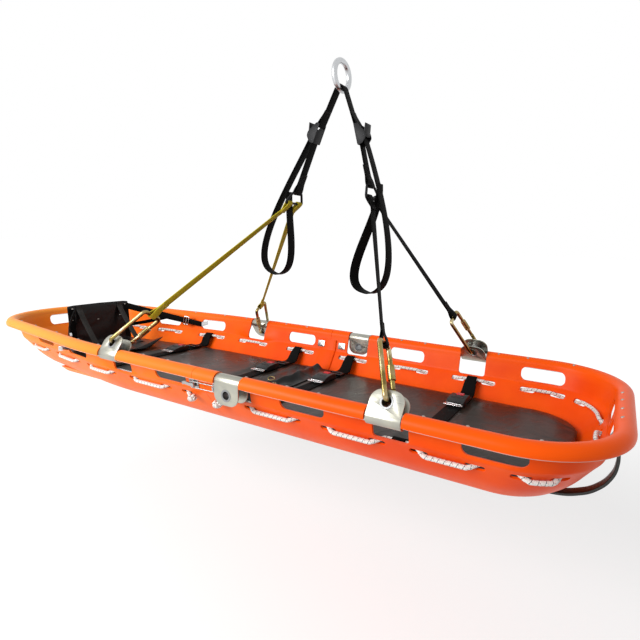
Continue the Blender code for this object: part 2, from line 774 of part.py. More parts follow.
# Carabiners and their gates
def carabiner(name, bracket_frame, below, goal, tilt):
    """A locking carabiner in a bracket's eye, drawn toward goal; tilt scales its slant along X."""
    wire_seat = EYE_REACH + (EYE_R - LINK_WIRE_R - EYE_PLAY) * (-1 if below else 1)
    seat = bracket_frame.at(wire_seat)
    pull = goal - seat
    across = bracket_frame.v
    pull = pull - across * pull.dot(across)
    pull.x *= tilt
    frame = Frame(seat, pull, across)
    bar = CARABINER_WIDTH / 2
    g0, g1 = GATE_SPAN
    middle = (g0 + g1) / 2

    def turn_from_gate(corner):
        return (math.atan2(corner[1], corner[0] - middle) + math.pi / 2) % (2 * math.pi)

    corners = [(u + CARABINER_LENGTH / 2, w)
               for u, w in rounded(CARABINER_LENGTH, CARABINER_WIDTH, CARABINER_CORNER, 3)]
    corners.sort(key=turn_from_gate)
    path = [frame.at(u, 0.0, w) for u, w in [(g1, -bar)] + corners + [(g0, -bar)]]
    hook = rod(name, path, LINK_WIRE_R, resolution=2)
    paint(hook, (0.75, 0.62, 0.32), 0.25, 1.0)
    slim = LINK_WIRE_R * 0.94
    spans = ((g0 + GATE_HEEL[0], slim / 2), (g0 + GATE_HEEL[1], slim), (SLEEVE_SPAN[0] - 0.001, slim),
             (SLEEVE_SPAN[0], SLEEVE_R), (SLEEVE_SPAN[1], SLEEVE_R), (SLEEVE_SPAN[1] + 0.001, slim),
             (g1 - GATE_GAP, slim))
    core = Frame(frame.at(0.0, 0.0, -bar), frame.w, frame.u)
    turn = [2 * math.pi * i / 10 for i in range(10)]
    rings = [[core.at(r * math.cos(a), r * math.sin(a), u) for a in turn] for u, r in spans]
    gate = solid(name + "_gate", *stitch(rings), pivot=frame.at(g0 + LINK_WIRE_R, 0.0, -bar))
    smooth(gate, 35)
    paint(gate, (0.75, 0.62, 0.32), 0.25, 1.0)
    return frame


# Webbing legs with sewn eyes
def eye_points(centre, away, across, bar_r, lap, hand):
    """Half-open eye round a bar: from the lap's end, round the bar, out along the strap."""
    frame = Frame(centre, away, across)
    wrap = bar_r + EYE_CLEAR + STRAP_T / 2
    near = (STRAP_T + STRAP_LAP_GAP) / 2
    throat = wrap * EYE_BULGE * hand
    pts = [(lap, -near * hand), (EYE_MOUTH, -near * hand), (EYE_THROAT, -throat)]
    for i in range(7):
        a = math.pi / 2 + math.pi * i / 6
        pts.append((wrap * math.cos(a), -wrap * math.sin(a) * hand))
    pts += [(EYE_THROAT, throat), (EYE_MOUTH, near * hand)]
    return [frame.at(u, v) for u, v in pts], frame


def leg(name, seat_frame, link_centre, colour):
    top_wire = seat_frame.at(CARABINER_LENGTH)
    away = link_centre - top_wire
    low, low_frame = eye_points(top_wire, away, seat_frame.w, LINK_WIRE_R, EYE_LAP, 1)
    level = Vector((-away.x, 0.0, -away.z))
    high, high_frame = eye_points(link_centre, level, (0, 1, 0), LINK_BAR_R, LINK_LAP, 1)
    flip = low_frame.w.dot(high_frame.w) < 0
    high = list(reversed(high))
    points = low
    across = [low_frame.w] * len(low)
    target_w = -high_frame.w if flip else high_frame.w
    gap_start = low[-1]
    gap_end = high[0]
    for i in range(1, 8):
        t = i / 8
        points.append(gap_start.lerp(gap_end, t))
        across.append(low_frame.w.lerp(target_w, t * t * (3 - 2 * t)))
    points = points + high
    across += [target_w] * len(high)
    strap = ribbon(name, points, across, LEG_WIDTH, STRAP_T)
    return paint(strap, colour, 0.7, 0.0)


YELLOW = (0.38, 0.29, 0.02)
BLACK = (0.012, 0.011, 0.011)
for end in ("foot", "head"):
    for side_name, side in SIDES.items():
        hanging = end == "foot" and side_name == "far"
        lean = leg_lean(end, side) + (math.pi if hanging else 0.0)
        fixing = bracket(f"bracket_{end}_{side_name}", BRACKET_X[end], side, lean)
        goal = leg_target(end, side)
        clip = carabiner(f"carabiner_{end}_{side_name}", fixing, hanging, goal, 0.45 if hanging else 1.0)
        leg(f"leg_{end}_{side_name}", clip, goal, YELLOW if end == "foot" else BLACK)
for side_name, side in SIDES.items():
    bracket(f"bracket_centre_{side_name}", BRACKET_X["centre"], side, HANGING)


# Bridle top: master ring, cam buckles, main straps with their hanging tails, delta links
def ring_points(count=28):
    centre = Vector((RING_X, 0.0, RING_SEAT_Z + RING_WIRE_R + RING_R - 2 * RING_WIRE_R))
    return [centre + Vector((0.0, RING_R * math.sin(a), -RING_R * math.cos(a)))
            for a in (2 * math.pi * i / count for i in range(count))]


RING_LOW = Vector((RING_X, 0.0, RING_SEAT_Z - RING_WIRE_R))
paint(rod("master_ring", ring_points(), RING_WIRE_R, closed=True), (0.6, 0.6, 0.62), 0.3, 1.0)


def link(name, base_centre, top_centre):
    frame = Frame(base_centre, top_centre - base_centre, (0, 1, 0))
    rise = (top_centre - base_centre).length
    small, large = LINK_CORNER
    low, top = LINK_BASE / 2, LINK_TOP / 2
    half = [(0.0, low - large), (small, low), (rise - small, top), (rise, top - small)]
    corner = [(0.0, -low + large)] + half + [(u, -w) for u, w in reversed(half[1:])]
    obj = rod(name, [frame.at(u, 0.0, w) for u, w in corner], LINK_BAR_R, closed=True)
    return paint(obj, (0.03, 0.03, 0.032), 0.4, 1.0)


def buckle(name, centre, link_top, hand):
    """Cam buckle: u runs down the strap to the link and v points to the lever's side."""
    down = link_top - centre
    frame = Frame(centre, down, (0, hand, 0))
    cheek = BUCKLE_HALF
    plate_half, bar_half = (cheek - fit for fit in BUCKLE_FIT)
    body = []
    for s in (-1, 1):
        ws = sorted((s * (cheek - CHEEK_T), s * cheek))
        body.append(prism(frame, CHEEK_OUTLINE, ws))
    case = solid(name + "_frame", *body[0])
    boolean(case, solid(name + "_cheek", *body[1], tool=True), "UNION")
    plate = block(frame, *BUCKLE_PLATE, (-plate_half, plate_half))
    boolean(case, solid(name + "_plate", *plate, tool=True), "UNION")
    axle = Frame(frame.at(ROLLER_U, ROLLER_R + EYE_CLEAR + STRAP_T / 2), frame.u, frame.w)
    roller = drum(axle, ROLLER_R, (-bar_half, bar_half))
    boolean(case, solid(name + "_roller", *roller, tool=True), "UNION")
    top_bar = drum(Frame(frame.at(*BUCKLE_BAR_AT), frame.u, frame.w), BUCKLE_BAR_R, (-bar_half, bar_half))
    boolean(case, solid(name + "_bar", *top_bar, tool=True), "UNION")
    paint(case, (0.05, 0.05, 0.055), 0.4, 1.0)
    inside = cheek - CHEEK_T - BUCKLE_FIT[1]
    hinge = frame.at(*LEVER_HINGE)
    lever = solid(name + "_lever", *prism(frame, LEVER_OUTLINE, (-inside, inside)), pivot=hinge)
    paint(smooth(lever, 30), (0.05, 0.05, 0.055), 0.4, 1.0)
    return frame


def tail_strap(name, frame, link_top, low, swing, hand):
    """Main strap: sewn round the link, up to the roller, round it and down in a hanging loop."""
    wrap = LINK_BAR_R + EYE_CLEAR + STRAP_T / 2
    reach = (link_top - frame.o).length
    near = (STRAP_T + STRAP_LAP_GAP) / 2
    uv = [(reach - TAIL_LAP, -near * 2), (reach - TAIL_MOUTH, -near * 2), (reach - TAIL_THROAT[0], -wrap)]
    for i in range(7):
        a = math.pi / 2 + math.pi * i / 6
        uv.append((reach - wrap * math.cos(a), -wrap * math.sin(a)))
    uv += [(reach - TAIL_THROAT[1], wrap * 0.7), (reach - TAIL_MOUTH, 0.0), (TAIL_ENTRY, 0.0), (ROLLER_U, 0.0)]
    turn_r = ROLLER_R + EYE_CLEAR + STRAP_T / 2
    for i in range(1, 7):
        a = -math.pi / 2 - math.pi * i / 6
        uv.append((ROLLER_U + turn_r * math.cos(a), turn_r + turn_r * math.sin(a)))
    uv.append((TAIL_EXIT, 2 * turn_r))
    points = [frame.at(u, v) for u, v in uv]
    out = points[-1]
    side = Vector((-hand, 0.0, 0.0))
    up = Vector((0.0, 0.0, 1.0))
    end = link_top + Vector((-hand * TAIL_END[0], 0.0, TAIL_END[1]))
    leave, belly, return_belly, arrive = TAIL_SPREAD
    first = out + frame.u * TAIL_DROP * 0.9 + side * leave
    points += bezier(out, first, low + side * swing * belly + up * TAIL_ROUND[0], low, 12)[1:]
    back = low - side * swing * return_belly + up * TAIL_ROUND[1]
    points += bezier(low, back, end + side * arrive - up * TAIL_DROP, end, 9)[1:]
    strap = ribbon(name, points, Vector((0, 1, 0)), MAIN_WIDTH, STRAP_T)
    return paint(strap, BLACK, 0.75, 0.0)


RIGGING = {"foot": (LINK_FOOT, BUCKLE_FOOT, 1, Vector((-0.004, 0.0, 0.222)), 0.052),
           "head": (LINK_HEAD, BUCKLE_HEAD, -1, Vector((0.305, 0.0, 0.192)), 0.050)}
buckle_frames = {}
for end, (base, top, hand, low, swing) in RIGGING.items():
    rise = base + (top - base).normalized() * LINK_RISE
    link(end + "_link", base, rise)
    buckle_frames[end] = buckle(end + "_cam_buckle", top, rise, hand)
    tail_strap(end + "_main_strap", buckle_frames[end], rise, low, swing, hand)


def master_strap():
    """One webbing over the master ring, sewn to the top bar of each cam buckle."""
    over = RING_WIRE_R + MASTER_CLEAR + STRAP_T / 2
    foot, head = buckle_frames["foot"], buckle_frames["head"]
    ends = []
    for frame, hand in ((foot, 1), (head, -1)):
        bar = frame.at(*BUCKLE_BAR_AT)
        ends.append(eye_points(bar, RING_LOW - frame.o, (0, 1, 0), BUCKLE_BAR_R, MASTER_LAP, hand)[0])
    low_foot, low_head = ends
    a0 = math.atan2((foot.o - RING_LOW).z, (foot.o - RING_LOW).x) - math.pi / 2 + 2 * math.pi
    a1 = math.atan2((head.o - RING_LOW).z, (head.o - RING_LOW).x) + math.pi / 2
    arc = []
    for i in range(9):
        a = a0 + (a1 - a0) * i / 8
        arc.append(RING_LOW + Vector((math.cos(a), 0.0, math.sin(a))) * over)
    points = low_foot + arc + list(reversed(low_head))
    strap = ribbon("master_strap", points, Vector((0, 1, 0)), MAIN_WIDTH, STRAP_T)
    return paint(strap, BLACK, 0.75, 0.0)


master_strap()


# Patient belts: webbing lying over the mattress from rope to rope, with a push-button buckle
def pad_height(y):
    inset = HALF_WIDTH - abs(y)
    face = inward(SECTION[8:], SKIN + PAD_SIDE_GAP)
    (d0, z0), (d1, z1) = face[0], face[1]
    edge = d0 + (d1 - d0) * (z0 - (PAD_TOP + PAD_SHOULDER)) / (z0 - z1)
    marks = [(edge + step, PAD_TOP + rise) for step, rise in ((0.0, PAD_SHOULDER), *PAD_CROWN_LINE)]
    for (a, za), (b, zb) in zip(marks, marks[1:]):
        if inset <= b:
            return za + (zb - za) * max(0.0, inset - a) / (b - a)
    return marks[-1][1]


def belt(number, x, buckle_inset):
    buckle_y = HALF_WIDTH - buckle_inset
    wall = WallRun("head" if x > 0 else "foot")
    spot = wall.frame(abs(x))
    rope = spot.o + spot.w * ROPE_IN
    along = spot.u.cross(spot.w)
    along = along if along.x > 0 else -along
    inward_h = Vector((-along.y, along.x, 0.0)).normalized()
    wrap = ROPE_R + BELT_EYE_CLEAR + BELT_T / 2
    above = BELT_REST + BELT_T / 2
    centre = Vector((x, rope.y, rope.z))
    quarter = []
    for i in range(8):
        a = math.radians(BELT_EYE_SWEEP[0] + BELT_EYE_SWEEP[1] * i / 7)
        p = centre - inward_h * wrap * math.cos(a) + Vector((0, 0, wrap * math.sin(a)))
        quarter.append((p, along, BELT_EYE_WIDTH))
    neck_in, neck_drop, neck_width = BELT_NECK
    quarter.append((centre + inward_h * neck_in + Vector((0, 0, neck_drop)), along, neck_width))
    ahead = Vector((1, 0, 0))
    for inset, lift in BELT_LANDINGS:
        y = HALF_WIDTH - inset
        quarter.append((Vector((x, -y, pad_height(y) + above + lift)), ahead, BELT_WIDTH))
    mirror = [(Vector((p.x, -p.y, p.z)), Vector((a.x, -a.y, a.z)), w) for p, a, w in reversed(quarter)]
    sequence = quarter + mirror
    strap = ribbon(f"belt_{number}", [p for p, _, _ in sequence], [a for _, a, _ in sequence],
                   [w for _, _, w in sequence], BELT_T)
    paint(strap, BLACK, 0.75, 0.0)
    width, length, height = BELT_BUCKLE
    seat = pad_height(buckle_y) + above + BELT_T / 2 + BUCKLE_REST
    frame = Frame((x, buckle_y, seat), (0, 1, 0), (1, 0, 0))
    up = 1 if frame.v.z > 0 else -1
    body = block(frame, (-length / 2, length / 2), sorted((0.0, up * height)), (-width / 2, width / 2))
    case = bevel(solid(f"belt_{number}_buckle", *body), 0.003, 1)
    key_half, key_long = BUTTON[0] / 2, BUTTON[1] / 2
    pocket_u = length / 2 - BUTTON_MARGIN - key_long
    room_u, room_w = key_long + BUTTON_GAP, key_half + BUTTON_GAP
    depths = sorted((up * (height - BUTTON_POCKET), up * (height + TOOL_REACH)))
    pocket = block(frame, (pocket_u - room_u, pocket_u + room_u), depths, (-room_w, room_w))
    boolean(case, solid(f"belt_{number}_pocket", *pocket, tool=True), "DIFFERENCE")
    paint(case, (0.03, 0.03, 0.032), 0.35, 0.0)
    top = height + BUTTON_PROUD
    faces_v = sorted((up * (top - BUTTON[2] + BUTTON_TRAVEL), up * top))
    key = block(frame, (pocket_u - key_long, pocket_u + key_long), faces_v, (-key_half, key_half))
    button = solid(f"belt_{number}_button", *key, pivot=frame.at(pocket_u, up * top))
    paint(bevel(button, 0.0012, 1), (0.65, 0.02, 0.03), 0.35, 0.0)


for number, (x, buckle_inset) in enumerate(BELTS, 1):
    belt(number, x, buckle_inset)


# Toggle latches: base and keeper riveted through the wall to square backing plates
def latch(side_name, side):
    frame = latch_frame(side)
    length, tall, thick = LATCH_PLATE
    prefix = f"latch_{side_name}_"

    def wall_plate(name, x):
        """A plate outside and one inside the wall, joined by two screws through it."""
        outer = LATCH_OFF + thick
        face = block(frame, (x - length / 2, x + length / 2), (LATCH_OFF, outer), (-tall / 2, tall / 2))
        obj = solid(prefix + name, *face)
        half_u, half_w = BACKING_HALF
        inner = -SKIN - BACKING_OFF[name]
        backing = block(frame, (x - half_u, x + half_u), (inner - thick, inner), (-half_w, half_w))
        boolean(obj, solid(prefix + name + "_backing", *backing, tool=True), "UNION")
        pins = []
        for dw in (-SCREW_PITCH / 2, SCREW_PITCH / 2):
            pin = Frame(frame.at(x, 0.0, dw), frame.u, frame.v)
            pins.append(drum(pin, SCREW_R, (inner - thick - SCREW_PROUD, outer + SCREW_PROUD), 6))
        boolean(obj, solid(prefix + name + "_screws", *gather(pins), tool=True), "UNION")
        return paint(obj, (0.6, 0.6, 0.62), 0.3, 1.0)

    hinge_u, hinge_v = LEVER_PIVOT
    base = wall_plate("base", LATCH_FOOT_X)
    for dw in (-1, 1):
        across = sorted((dw * EAR_SPAN[0], dw * EAR_SPAN[1]))
        (back_u, front_u), top_v = EAR_PROFILE
        root_v = LATCH_OFF + thick / 2
        ear = block(frame, (hinge_u + back_u, hinge_u + front_u), (root_v, hinge_v + top_v), across)
        boolean(base, solid(f"{prefix}ear_{dw + 1}", *ear, tool=True), "UNION")
    keeper = wall_plate("keeper", LATCH_HEAD_X)
    hook_u = (LATCH_HEAD_X + HOOK_U[0], LATCH_HEAD_X + HOOK_U[1])
    hook = block(frame, hook_u, (LATCH_OFF + thick / 2, HOOK_TOP), (-HOOK_HALF, HOOK_HALF))
    boolean(keeper, solid(prefix + "hook", *hook, tool=True), "UNION")
    arm = [(hinge_u + u, hinge_v + v) for u, v in ARM_OUTLINE]
    swing = prism(frame, arm, (-LEVER_HALF, LEVER_HALF))
    paint(solid(prefix + "lever", *swing, pivot=frame.at(hinge_u, hinge_v)), (0.6, 0.6, 0.62), 0.3, 1.0)
    turn_u = hinge_u - BAIL_ARM
    far = hook_u[1] + BAIL_WIRE_R + BAIL_GAP[0]
    half = EAR_SPAN[1] + BAIL_GAP[1] + BAIL_WIRE_R
    route = [(turn_u, hinge_v, LEVER_HALF + BAIL_GAP[0]), (turn_u, hinge_v, half),
             (far - BAIL_BEND, BAIL_V, half), (far, BAIL_V, half - BAIL_BEND)]
    loop = [frame.at(u, v, w) for u, v, w in route] + [frame.at(u, v, -w) for u, v, w in reversed(route)]
    bail = rod(prefix + "bail", loop, BAIL_WIRE_R, pivot=frame.at(turn_u, hinge_v))
    paint(bail, (0.6, 0.6, 0.62), 0.3, 1.0)


for side_name, side in SIDES.items():
    latch(side_name, side)

# Foot rest: a padded L of upright panel and sole sheet, tied back by a hooked strap on each side
rest_z = PAD_TOP + PAD_CROWN + REST_GAP + REST_T / 2
profile = [Vector((REST_X + REST_BASE, 0.0, rest_z))]
profile += [Vector((REST_X + step, 0.0, rest_z + rise)) for step, rise in REST_FOLD]
profile.append(Vector((REST_X - REST_LEAN, 0.0, REST_TOP)))
rest = ribbon("foot_rest", profile, Vector((0, 1, 0)), 2 * REST_HALF, REST_T)
paint(rest, (0.015, 0.015, 0.016), 0.5, 0.0)
for side_name, side in SIDES.items():
    sill = HAND_HOLE_Z - HAND_HOLE[1] / 2
    edge = Vector((TIE_HOLE_X, side * (HALF_WIDTH - wall_inset(sill)), sill))
    ahead, inside, below = TIE_START
    start = Vector((REST_X + ahead, side * (REST_HALF - inside), REST_TOP - below))
    hooked = [start, start.lerp(edge, 0.5) - Vector((0, 0, TIE_SAG))]
    hooked += [edge + Vector((0, side * out, rise)) for out, rise in TIE_HOOK]
    turned = [Vector((1, -side * TIE_TURN, 0))] * 2 + [Vector((1, 0, 0))] * len(TIE_HOOK)
    strap = ribbon(f"foot_rest_strap_{side_name}", hooked, turned, list(TIE_WIDTHS), STRAP_T)
    paint(strap, BLACK, 0.75, 0.0)

# Skid: two flat bars under the head end joined by a cross bar beneath the hull
skid_low = -(FLOOR_DEPTH + SKID_GAP + SKID_T / 2)
bars = []
for side_name, side in SIDES.items():
    points = [Vector((HEAD_X + x, side * SKID_Y, z)) for x, z in SKID_TOP]
    points += [Vector((HEAD_X + x, side * SKID_Y, skid_low)) for x in SKID_SOLE]
    name = "head_skid" if side < 0 else "skid_bar_far"
    bars.append(ribbon(name, points, Vector((0, 1, 0)), SKID_WIDTH, SKID_T, tool=side > 0))
cross_x, cross_half, cross_sunk = SKID_CROSS
cross_frame = Frame((HEAD_X + cross_x, 0.0, skid_low), (1, 0, 0), (0, 1, 0))
cross_t = SKID_T / 2 - cross_sunk
cross = block(cross_frame, (-cross_half, cross_half), (-cross_t, cross_t), (-SKID_Y, SKID_Y))
boolean(bars[0], solid("skid_cross_bar", *cross, tool=True), "UNION")
boolean(bars[0], bars[1], "UNION")
paint(bars[0], (0.02, 0.02, 0.02), 0.4, 0.0)

# Move everything so that the master ring's seat is the world origin
for collection in (parts, tools):
    for obj in collection.objects:
        obj.location = obj.location - ORIGIN
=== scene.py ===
import math

import bmesh
import bpy
from mathutils import Matrix, Vector


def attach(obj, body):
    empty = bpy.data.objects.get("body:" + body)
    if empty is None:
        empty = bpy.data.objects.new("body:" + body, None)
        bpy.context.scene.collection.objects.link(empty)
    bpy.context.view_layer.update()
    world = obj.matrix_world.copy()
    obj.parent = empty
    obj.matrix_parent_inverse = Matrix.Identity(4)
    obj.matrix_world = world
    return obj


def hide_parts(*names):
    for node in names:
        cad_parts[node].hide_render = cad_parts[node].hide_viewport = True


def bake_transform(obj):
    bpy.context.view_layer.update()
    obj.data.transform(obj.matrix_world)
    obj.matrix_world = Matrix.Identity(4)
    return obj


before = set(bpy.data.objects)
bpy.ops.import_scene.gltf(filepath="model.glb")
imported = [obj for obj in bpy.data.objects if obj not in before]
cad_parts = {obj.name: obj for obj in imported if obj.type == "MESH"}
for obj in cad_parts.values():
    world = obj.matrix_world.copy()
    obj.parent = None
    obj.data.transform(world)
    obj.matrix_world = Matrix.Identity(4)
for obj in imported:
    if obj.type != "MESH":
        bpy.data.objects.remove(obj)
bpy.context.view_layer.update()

# Camera: the basket hangs level and is seen from its near side, a little above the rim.
# The lens is short and close, so the head end at the right is near and the foot end runs away.
SEAT = Vector((0.193, 0.0, 0.700))
CAMERA_AT = Vector((0.84740, -1.02901, 0.32030))
CAMERA_YAW, CAMERA_PITCH, CAMERA_ROLL = (math.radians(a) for a in (-28.20, -8.27, 1.97))
FRAME_PX = 640
FOCAL_PX = 461.331
CENTRE_PX = (370.294, 309.539)
SENSOR = 36.0

camera = bpy.data.objects.new("camera", bpy.data.cameras.new("camera"))
bpy.context.scene.collection.objects.link(camera)
ahead = Vector((math.sin(CAMERA_YAW) * math.cos(CAMERA_PITCH), math.cos(CAMERA_YAW) * math.cos(CAMERA_PITCH),
                math.sin(CAMERA_PITCH)))
level = Vector((math.cos(CAMERA_YAW), -math.sin(CAMERA_YAW), 0.0))
above = level.cross(ahead)
right = level * math.cos(CAMERA_ROLL) + above * math.sin(CAMERA_ROLL)
upward = above * math.cos(CAMERA_ROLL) - level * math.sin(CAMERA_ROLL)
turned = Matrix((right, upward, -ahead)).transposed().to_4x4()
camera.matrix_world = Matrix.Translation(CAMERA_AT - SEAT) @ turned
camera.data.sensor_width = SENSOR
camera.data.lens = SENSOR * FOCAL_PX / FRAME_PX
camera.data.shift_x = (FRAME_PX / 2 - CENTRE_PX[0]) / FRAME_PX
camera.data.shift_y = (CENTRE_PX[1] - FRAME_PX / 2) / FRAME_PX
bpy.context.scene.camera = camera

# Shell halves: each is one sheet of orange polyethylene drawn over a mould and rolled over the rim tube,
# with hand holes, bracket windows and rope slots routed out and a runner pressed under each side.
HALF_WIDTH, HEAD_X, FOOT_X = 0.295, 0.885, -1.135
HEAD_CORNER_R = 0.175
TAPER_X, FOOT_ARC_X, FOOT_HALF = -0.45, -0.94, 0.235
HEAD_SLOPE, FOOT_SLOPE = 1.1, 2.0
HEAD_CLOSING, FOOT_CLOSING, TAPER_BEND = 0.6, 0.9, 0.08
TUBE_R = 0.0125
LIP_R = 0.0136
LIP_START = math.radians(-18)
SKIN = 0.0045
WALL_CORNERS = ((LIP_R, 0.0), (0.024, -0.050), (0.030, -0.058), (0.062, -0.108), (0.092, -0.138),
                (0.118, -0.145))
FLOOR_DEPTH = 0.145
JOINT = 0.0005
HAND_HOLE, HAND_HOLE_R, HAND_HOLE_Z = (0.115, 0.036), 0.0150, -0.0245
HAND_HOLE_X = (-0.765, -0.545, -0.121, 0.286, 0.690)
END_HOLE_Y, END_HOLE_WIDTH = {"foot": (0.0,), "head": (-0.070, 0.070)}, 0.100
WINDOW, WINDOW_DEPTH, WINDOW_R = (0.077, 0.130), 0.052, 0.008
BRACKET_X = {"foot": -0.325, "centre": 0.1065, "head": 0.494}
ROPE_Z = -0.067
SLOT, SLOT_R = (0.039, 0.0136), 0.0060
HEAD_SLOTS = (0.062, 0.132, 0.255, 0.345, 0.459, 0.548, 0.655, 0.735, 0.800, 0.935, 1.010)
FOOT_SLOTS = (0.078, 0.158, 0.287, 0.388, 0.497, 0.585, 0.708, 0.800, 0.900, 1.020)
RAIL_Y, RAIL_WIDTH, RAIL_DROP, RAIL_NOSE = 0.145, 0.030, 0.011, 0.030
RAIL_ENDS = {"head": (0.035, 0.700), "foot": (-0.835, -0.050)}
POCKET_DEPTH, POCKET_HALF, POCKET_FADE = 0.0065, 0.042, 0.060
POCKET_TOP, POCKET_FOOT = (0.006, 0.026), (0.060, 0.016)
SIDES, SIDE_Y = {"near": -1, "far": 1}, 0.1
SIDE_LANE, END_LANE, SLOT_LANE = (0.19, 0.34), {"head": (0.80, 0.95), "foot": (-1.17, -1.00)}, (-0.018, 0.018)


def linear(colour):
    """An sRGB hex value as the linear colour that a shader takes."""
    steps = [int(colour[i:i + 2], 16) / 255 for i in (1, 3, 5)]
    return tuple(c / 12.92 if c <= 0.04045 else ((c + 0.055) / 1.055) ** 2.4 for c in steps) + (1.0,)


def add(tree, kind, settings, out=None):
    """One node with its settings, where a socket as a value is linked; gives one output, the first in use
    or the one that is named."""
    made = tree.nodes.new("ShaderNode" + kind)
    for key, value in settings.items():
        if isinstance(key, str) and key not in made.inputs:
            setattr(made, key, value)
    for key, value in settings.items():
        if isinstance(key, int) or key in made.inputs:
            if isinstance(value, bpy.types.NodeSocket):
                tree.links.new(value, made.inputs[key])
            else:
                made.inputs[key].default_value = value
    return made.outputs[out] if out else next(socket for socket in made.outputs if socket.enabled)


def finish(name, colour, metallic, roughness, **sockets):
    """A new material with its colour, metallic and roughness; returns it with its node tree."""
    mat = bpy.data.materials.new(name)
    mat.use_nodes = True
    shader = mat.node_tree.nodes["Principled BSDF"]
    shader.inputs["Base Color"].default_value = linear(colour)
    shader.inputs["Metallic"].default_value = metallic
    shader.inputs["Roughness"].default_value = roughness
    for key, value in sockets.items():
        shader.inputs[key.replace("_", " ")].default_value = value
    return mat, mat.node_tree


def feed(mat, **outputs):
    """Links outputs of nodes to the shader's sockets; returns the material."""
    for key, output in outputs.items():
        mat.node_tree.links.new(output, mat.node_tree.nodes["Principled BSDF"].inputs[key.replace("_", " ")])
    return mat


def moulded_polyethylene(name, lit_foot_tones, shaded_head_tones):
    """Vacuum-formed polyethylene: waxy and mottled, with a soft orange-peel skin, a rolled lip whose top
    carries a painted highlight, and pale rubbed runners. Its orange is painted lighter and yellower toward the
    foot and the near side, a painted light gradient from lit to shaded copies of one orange, unbroken at the
    joint."""
    mat, tree = finish(name, shaded_head_tones[0], 0.0, 0.36, IOR=1.51, Specular_IOR_Level=0.12)
    place = add(tree, "TexCoord", {}, "Object")
    # Painted light: the colour runs from the lit foot copies to the shaded head copies, along the stretcher and
    # toward the near side.
    run = add(tree, "VectorMath", {"operation": "DOT_PRODUCT", 0: place, 1: PAINTED_LIGHT_LEAN})
    along = add(tree, "MapRange", {"Value": run, "From Min": PAINTED_LIGHT_TURNS[0] - SEAT.x,
                                   "From Max": PAINTED_LIGHT_TURNS[1] - SEAT.x})
    colour, deep, rubbed, lip_painted_highlight = [add(tree, "Mix", {"data_type": "RGBA", 0: along, 6: linear(a), 7: linear(b)})
                                   for a, b in zip(lit_foot_tones, shaded_head_tones)]
    cloud = add(tree, "TexNoise", {"Scale": 7.0, "Detail": 3.0, "Roughness": 0.55, "Vector": place})
    tint = add(tree, "MapRange", {"Value": cloud, "From Min": 0.35, "From Max": 0.68})
    body = add(tree, "Mix", {"data_type": "RGBA", 0: tint, 6: colour, 7: deep})
    height = add(tree, "SeparateXYZ", {"Vector": place}, "Z")
    low = add(tree, "MapRange", {"Value": height, "From Min": -SEAT.z - 0.128, "From Max": -SEAT.z - 0.152})
    scuff = add(tree, "TexNoise", {"Scale": 55.0, "Detail": 5.0, "Roughness": 0.7, "Vector": place})
    worn = add(tree, "Math", {"operation": "MULTIPLY", 0: low, 1: scuff})
    skin = add(tree, "Mix", {"data_type": "RGBA", 0: worn, 6: body, 7: rubbed})
    # Painted highlight: the top of the lip is made paler and yellower, where the light catches it.
    high = add(tree, "MapRange", {"Value": height, "From Min": -SEAT.z - 0.016, "From Max": -SEAT.z + 0.004})
    lip = add(tree, "Mix", {"data_type": "RGBA", 0: high, 6: skin, 7: lip_painted_highlight})
    dull = add(tree, "MapRange", {"Value": scuff, "To Min": 0.30, "To Max": 0.46})
    peel = add(tree, "TexNoise", {"Scale": 90.0, "Detail": 2.0, "Vector": place})
    swell = add(tree, "TexNoise", {"Scale": 9.0, "Detail": 1.0, "Vector": place})
    broad = add(tree, "Bump", {"Strength": 0.5, "Distance": 0.004, "Height": swell})
    relief = add(tree, "Bump", {"Strength": 0.12, "Distance": 0.0008, "Height": peel, "Normal": broad})
    return feed(mat, Base_Color=lip, Roughness=dull, Normal=relief)


def piece(name, verts, faces, mat, body="basket", sharp=38):
    """A mesh piece given in the basket's own measures, riding a body."""
    mesh = bpy.data.meshes.new(name)
    mesh.from_pydata([Vector(v) - SEAT for v in verts], [], faces)
    mesh.validate()
    work = bmesh.new()
    work.from_mesh(mesh)
    bmesh.ops.recalc_face_normals(work, faces=work.faces)
    work.to_mesh(mesh)
    work.free()
    obj = bpy.data.objects.new(name, mesh)
    bpy.context.scene.collection.objects.link(obj)
    if mat:
        mesh.materials.append(mat)
    mesh.shade_smooth()
    mesh.set_sharp_from_angle(angle=math.radians(sharp))
    if body:
        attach(obj, body)
    return obj


def settle(obj, sharp=38):
    """Keeps what the modifiers made as the piece's own mesh."""
    bpy.context.view_layer.update()
    graph = bpy.context.evaluated_depsgraph_get()
    made = bpy.data.meshes.new_from_object(obj.evaluated_get(graph), depsgraph=graph)
    obj.modifiers.clear()
    obj.data = made
    made.shade_smooth()
    made.set_sharp_from_angle(angle=math.radians(sharp))
    return obj


def stitch(loops, caps=True, closed=True):
    """Points and faces of a skin through loops of equal length."""
    count = len(loops[0])
    faces = []
    for row in range(len(loops) - 1):
        for i in range(count if closed else count - 1):
            a, b = row * count + i, row * count + (i + 1) % count
            faces.append((a, b, b + count, a + count))
    if caps:
        faces.append(tuple(reversed(range(count))))
        faces.append(tuple(range((len(loops) - 1) * count, len(loops) * count)))
    return [Vector(p) for loop in loops for p in loop], faces


def gather(bodies):
    """Several bodies as one list of points and faces."""
    verts, faces = [], []
    for body_verts, body_faces in bodies:
        faces.extend(tuple(i + len(verts) for i in face) for face in body_faces)
        verts.extend(body_verts)
    return verts, faces


def cut(obj, bodies, operation="DIFFERENCE"):
    """Cuts bodies out of a piece, or joins them to it."""
    tool = piece(obj.name + "_tool", *gather(bodies), None, body=None)
    mod = obj.modifiers.new("cut", "BOOLEAN")
    mod.operation = operation
    mod.solver = "EXACT"
    mod.use_self = False
    mod.object = tool
    settle(obj)
    bpy.data.objects.remove(tool, do_unlink=True)
    return obj


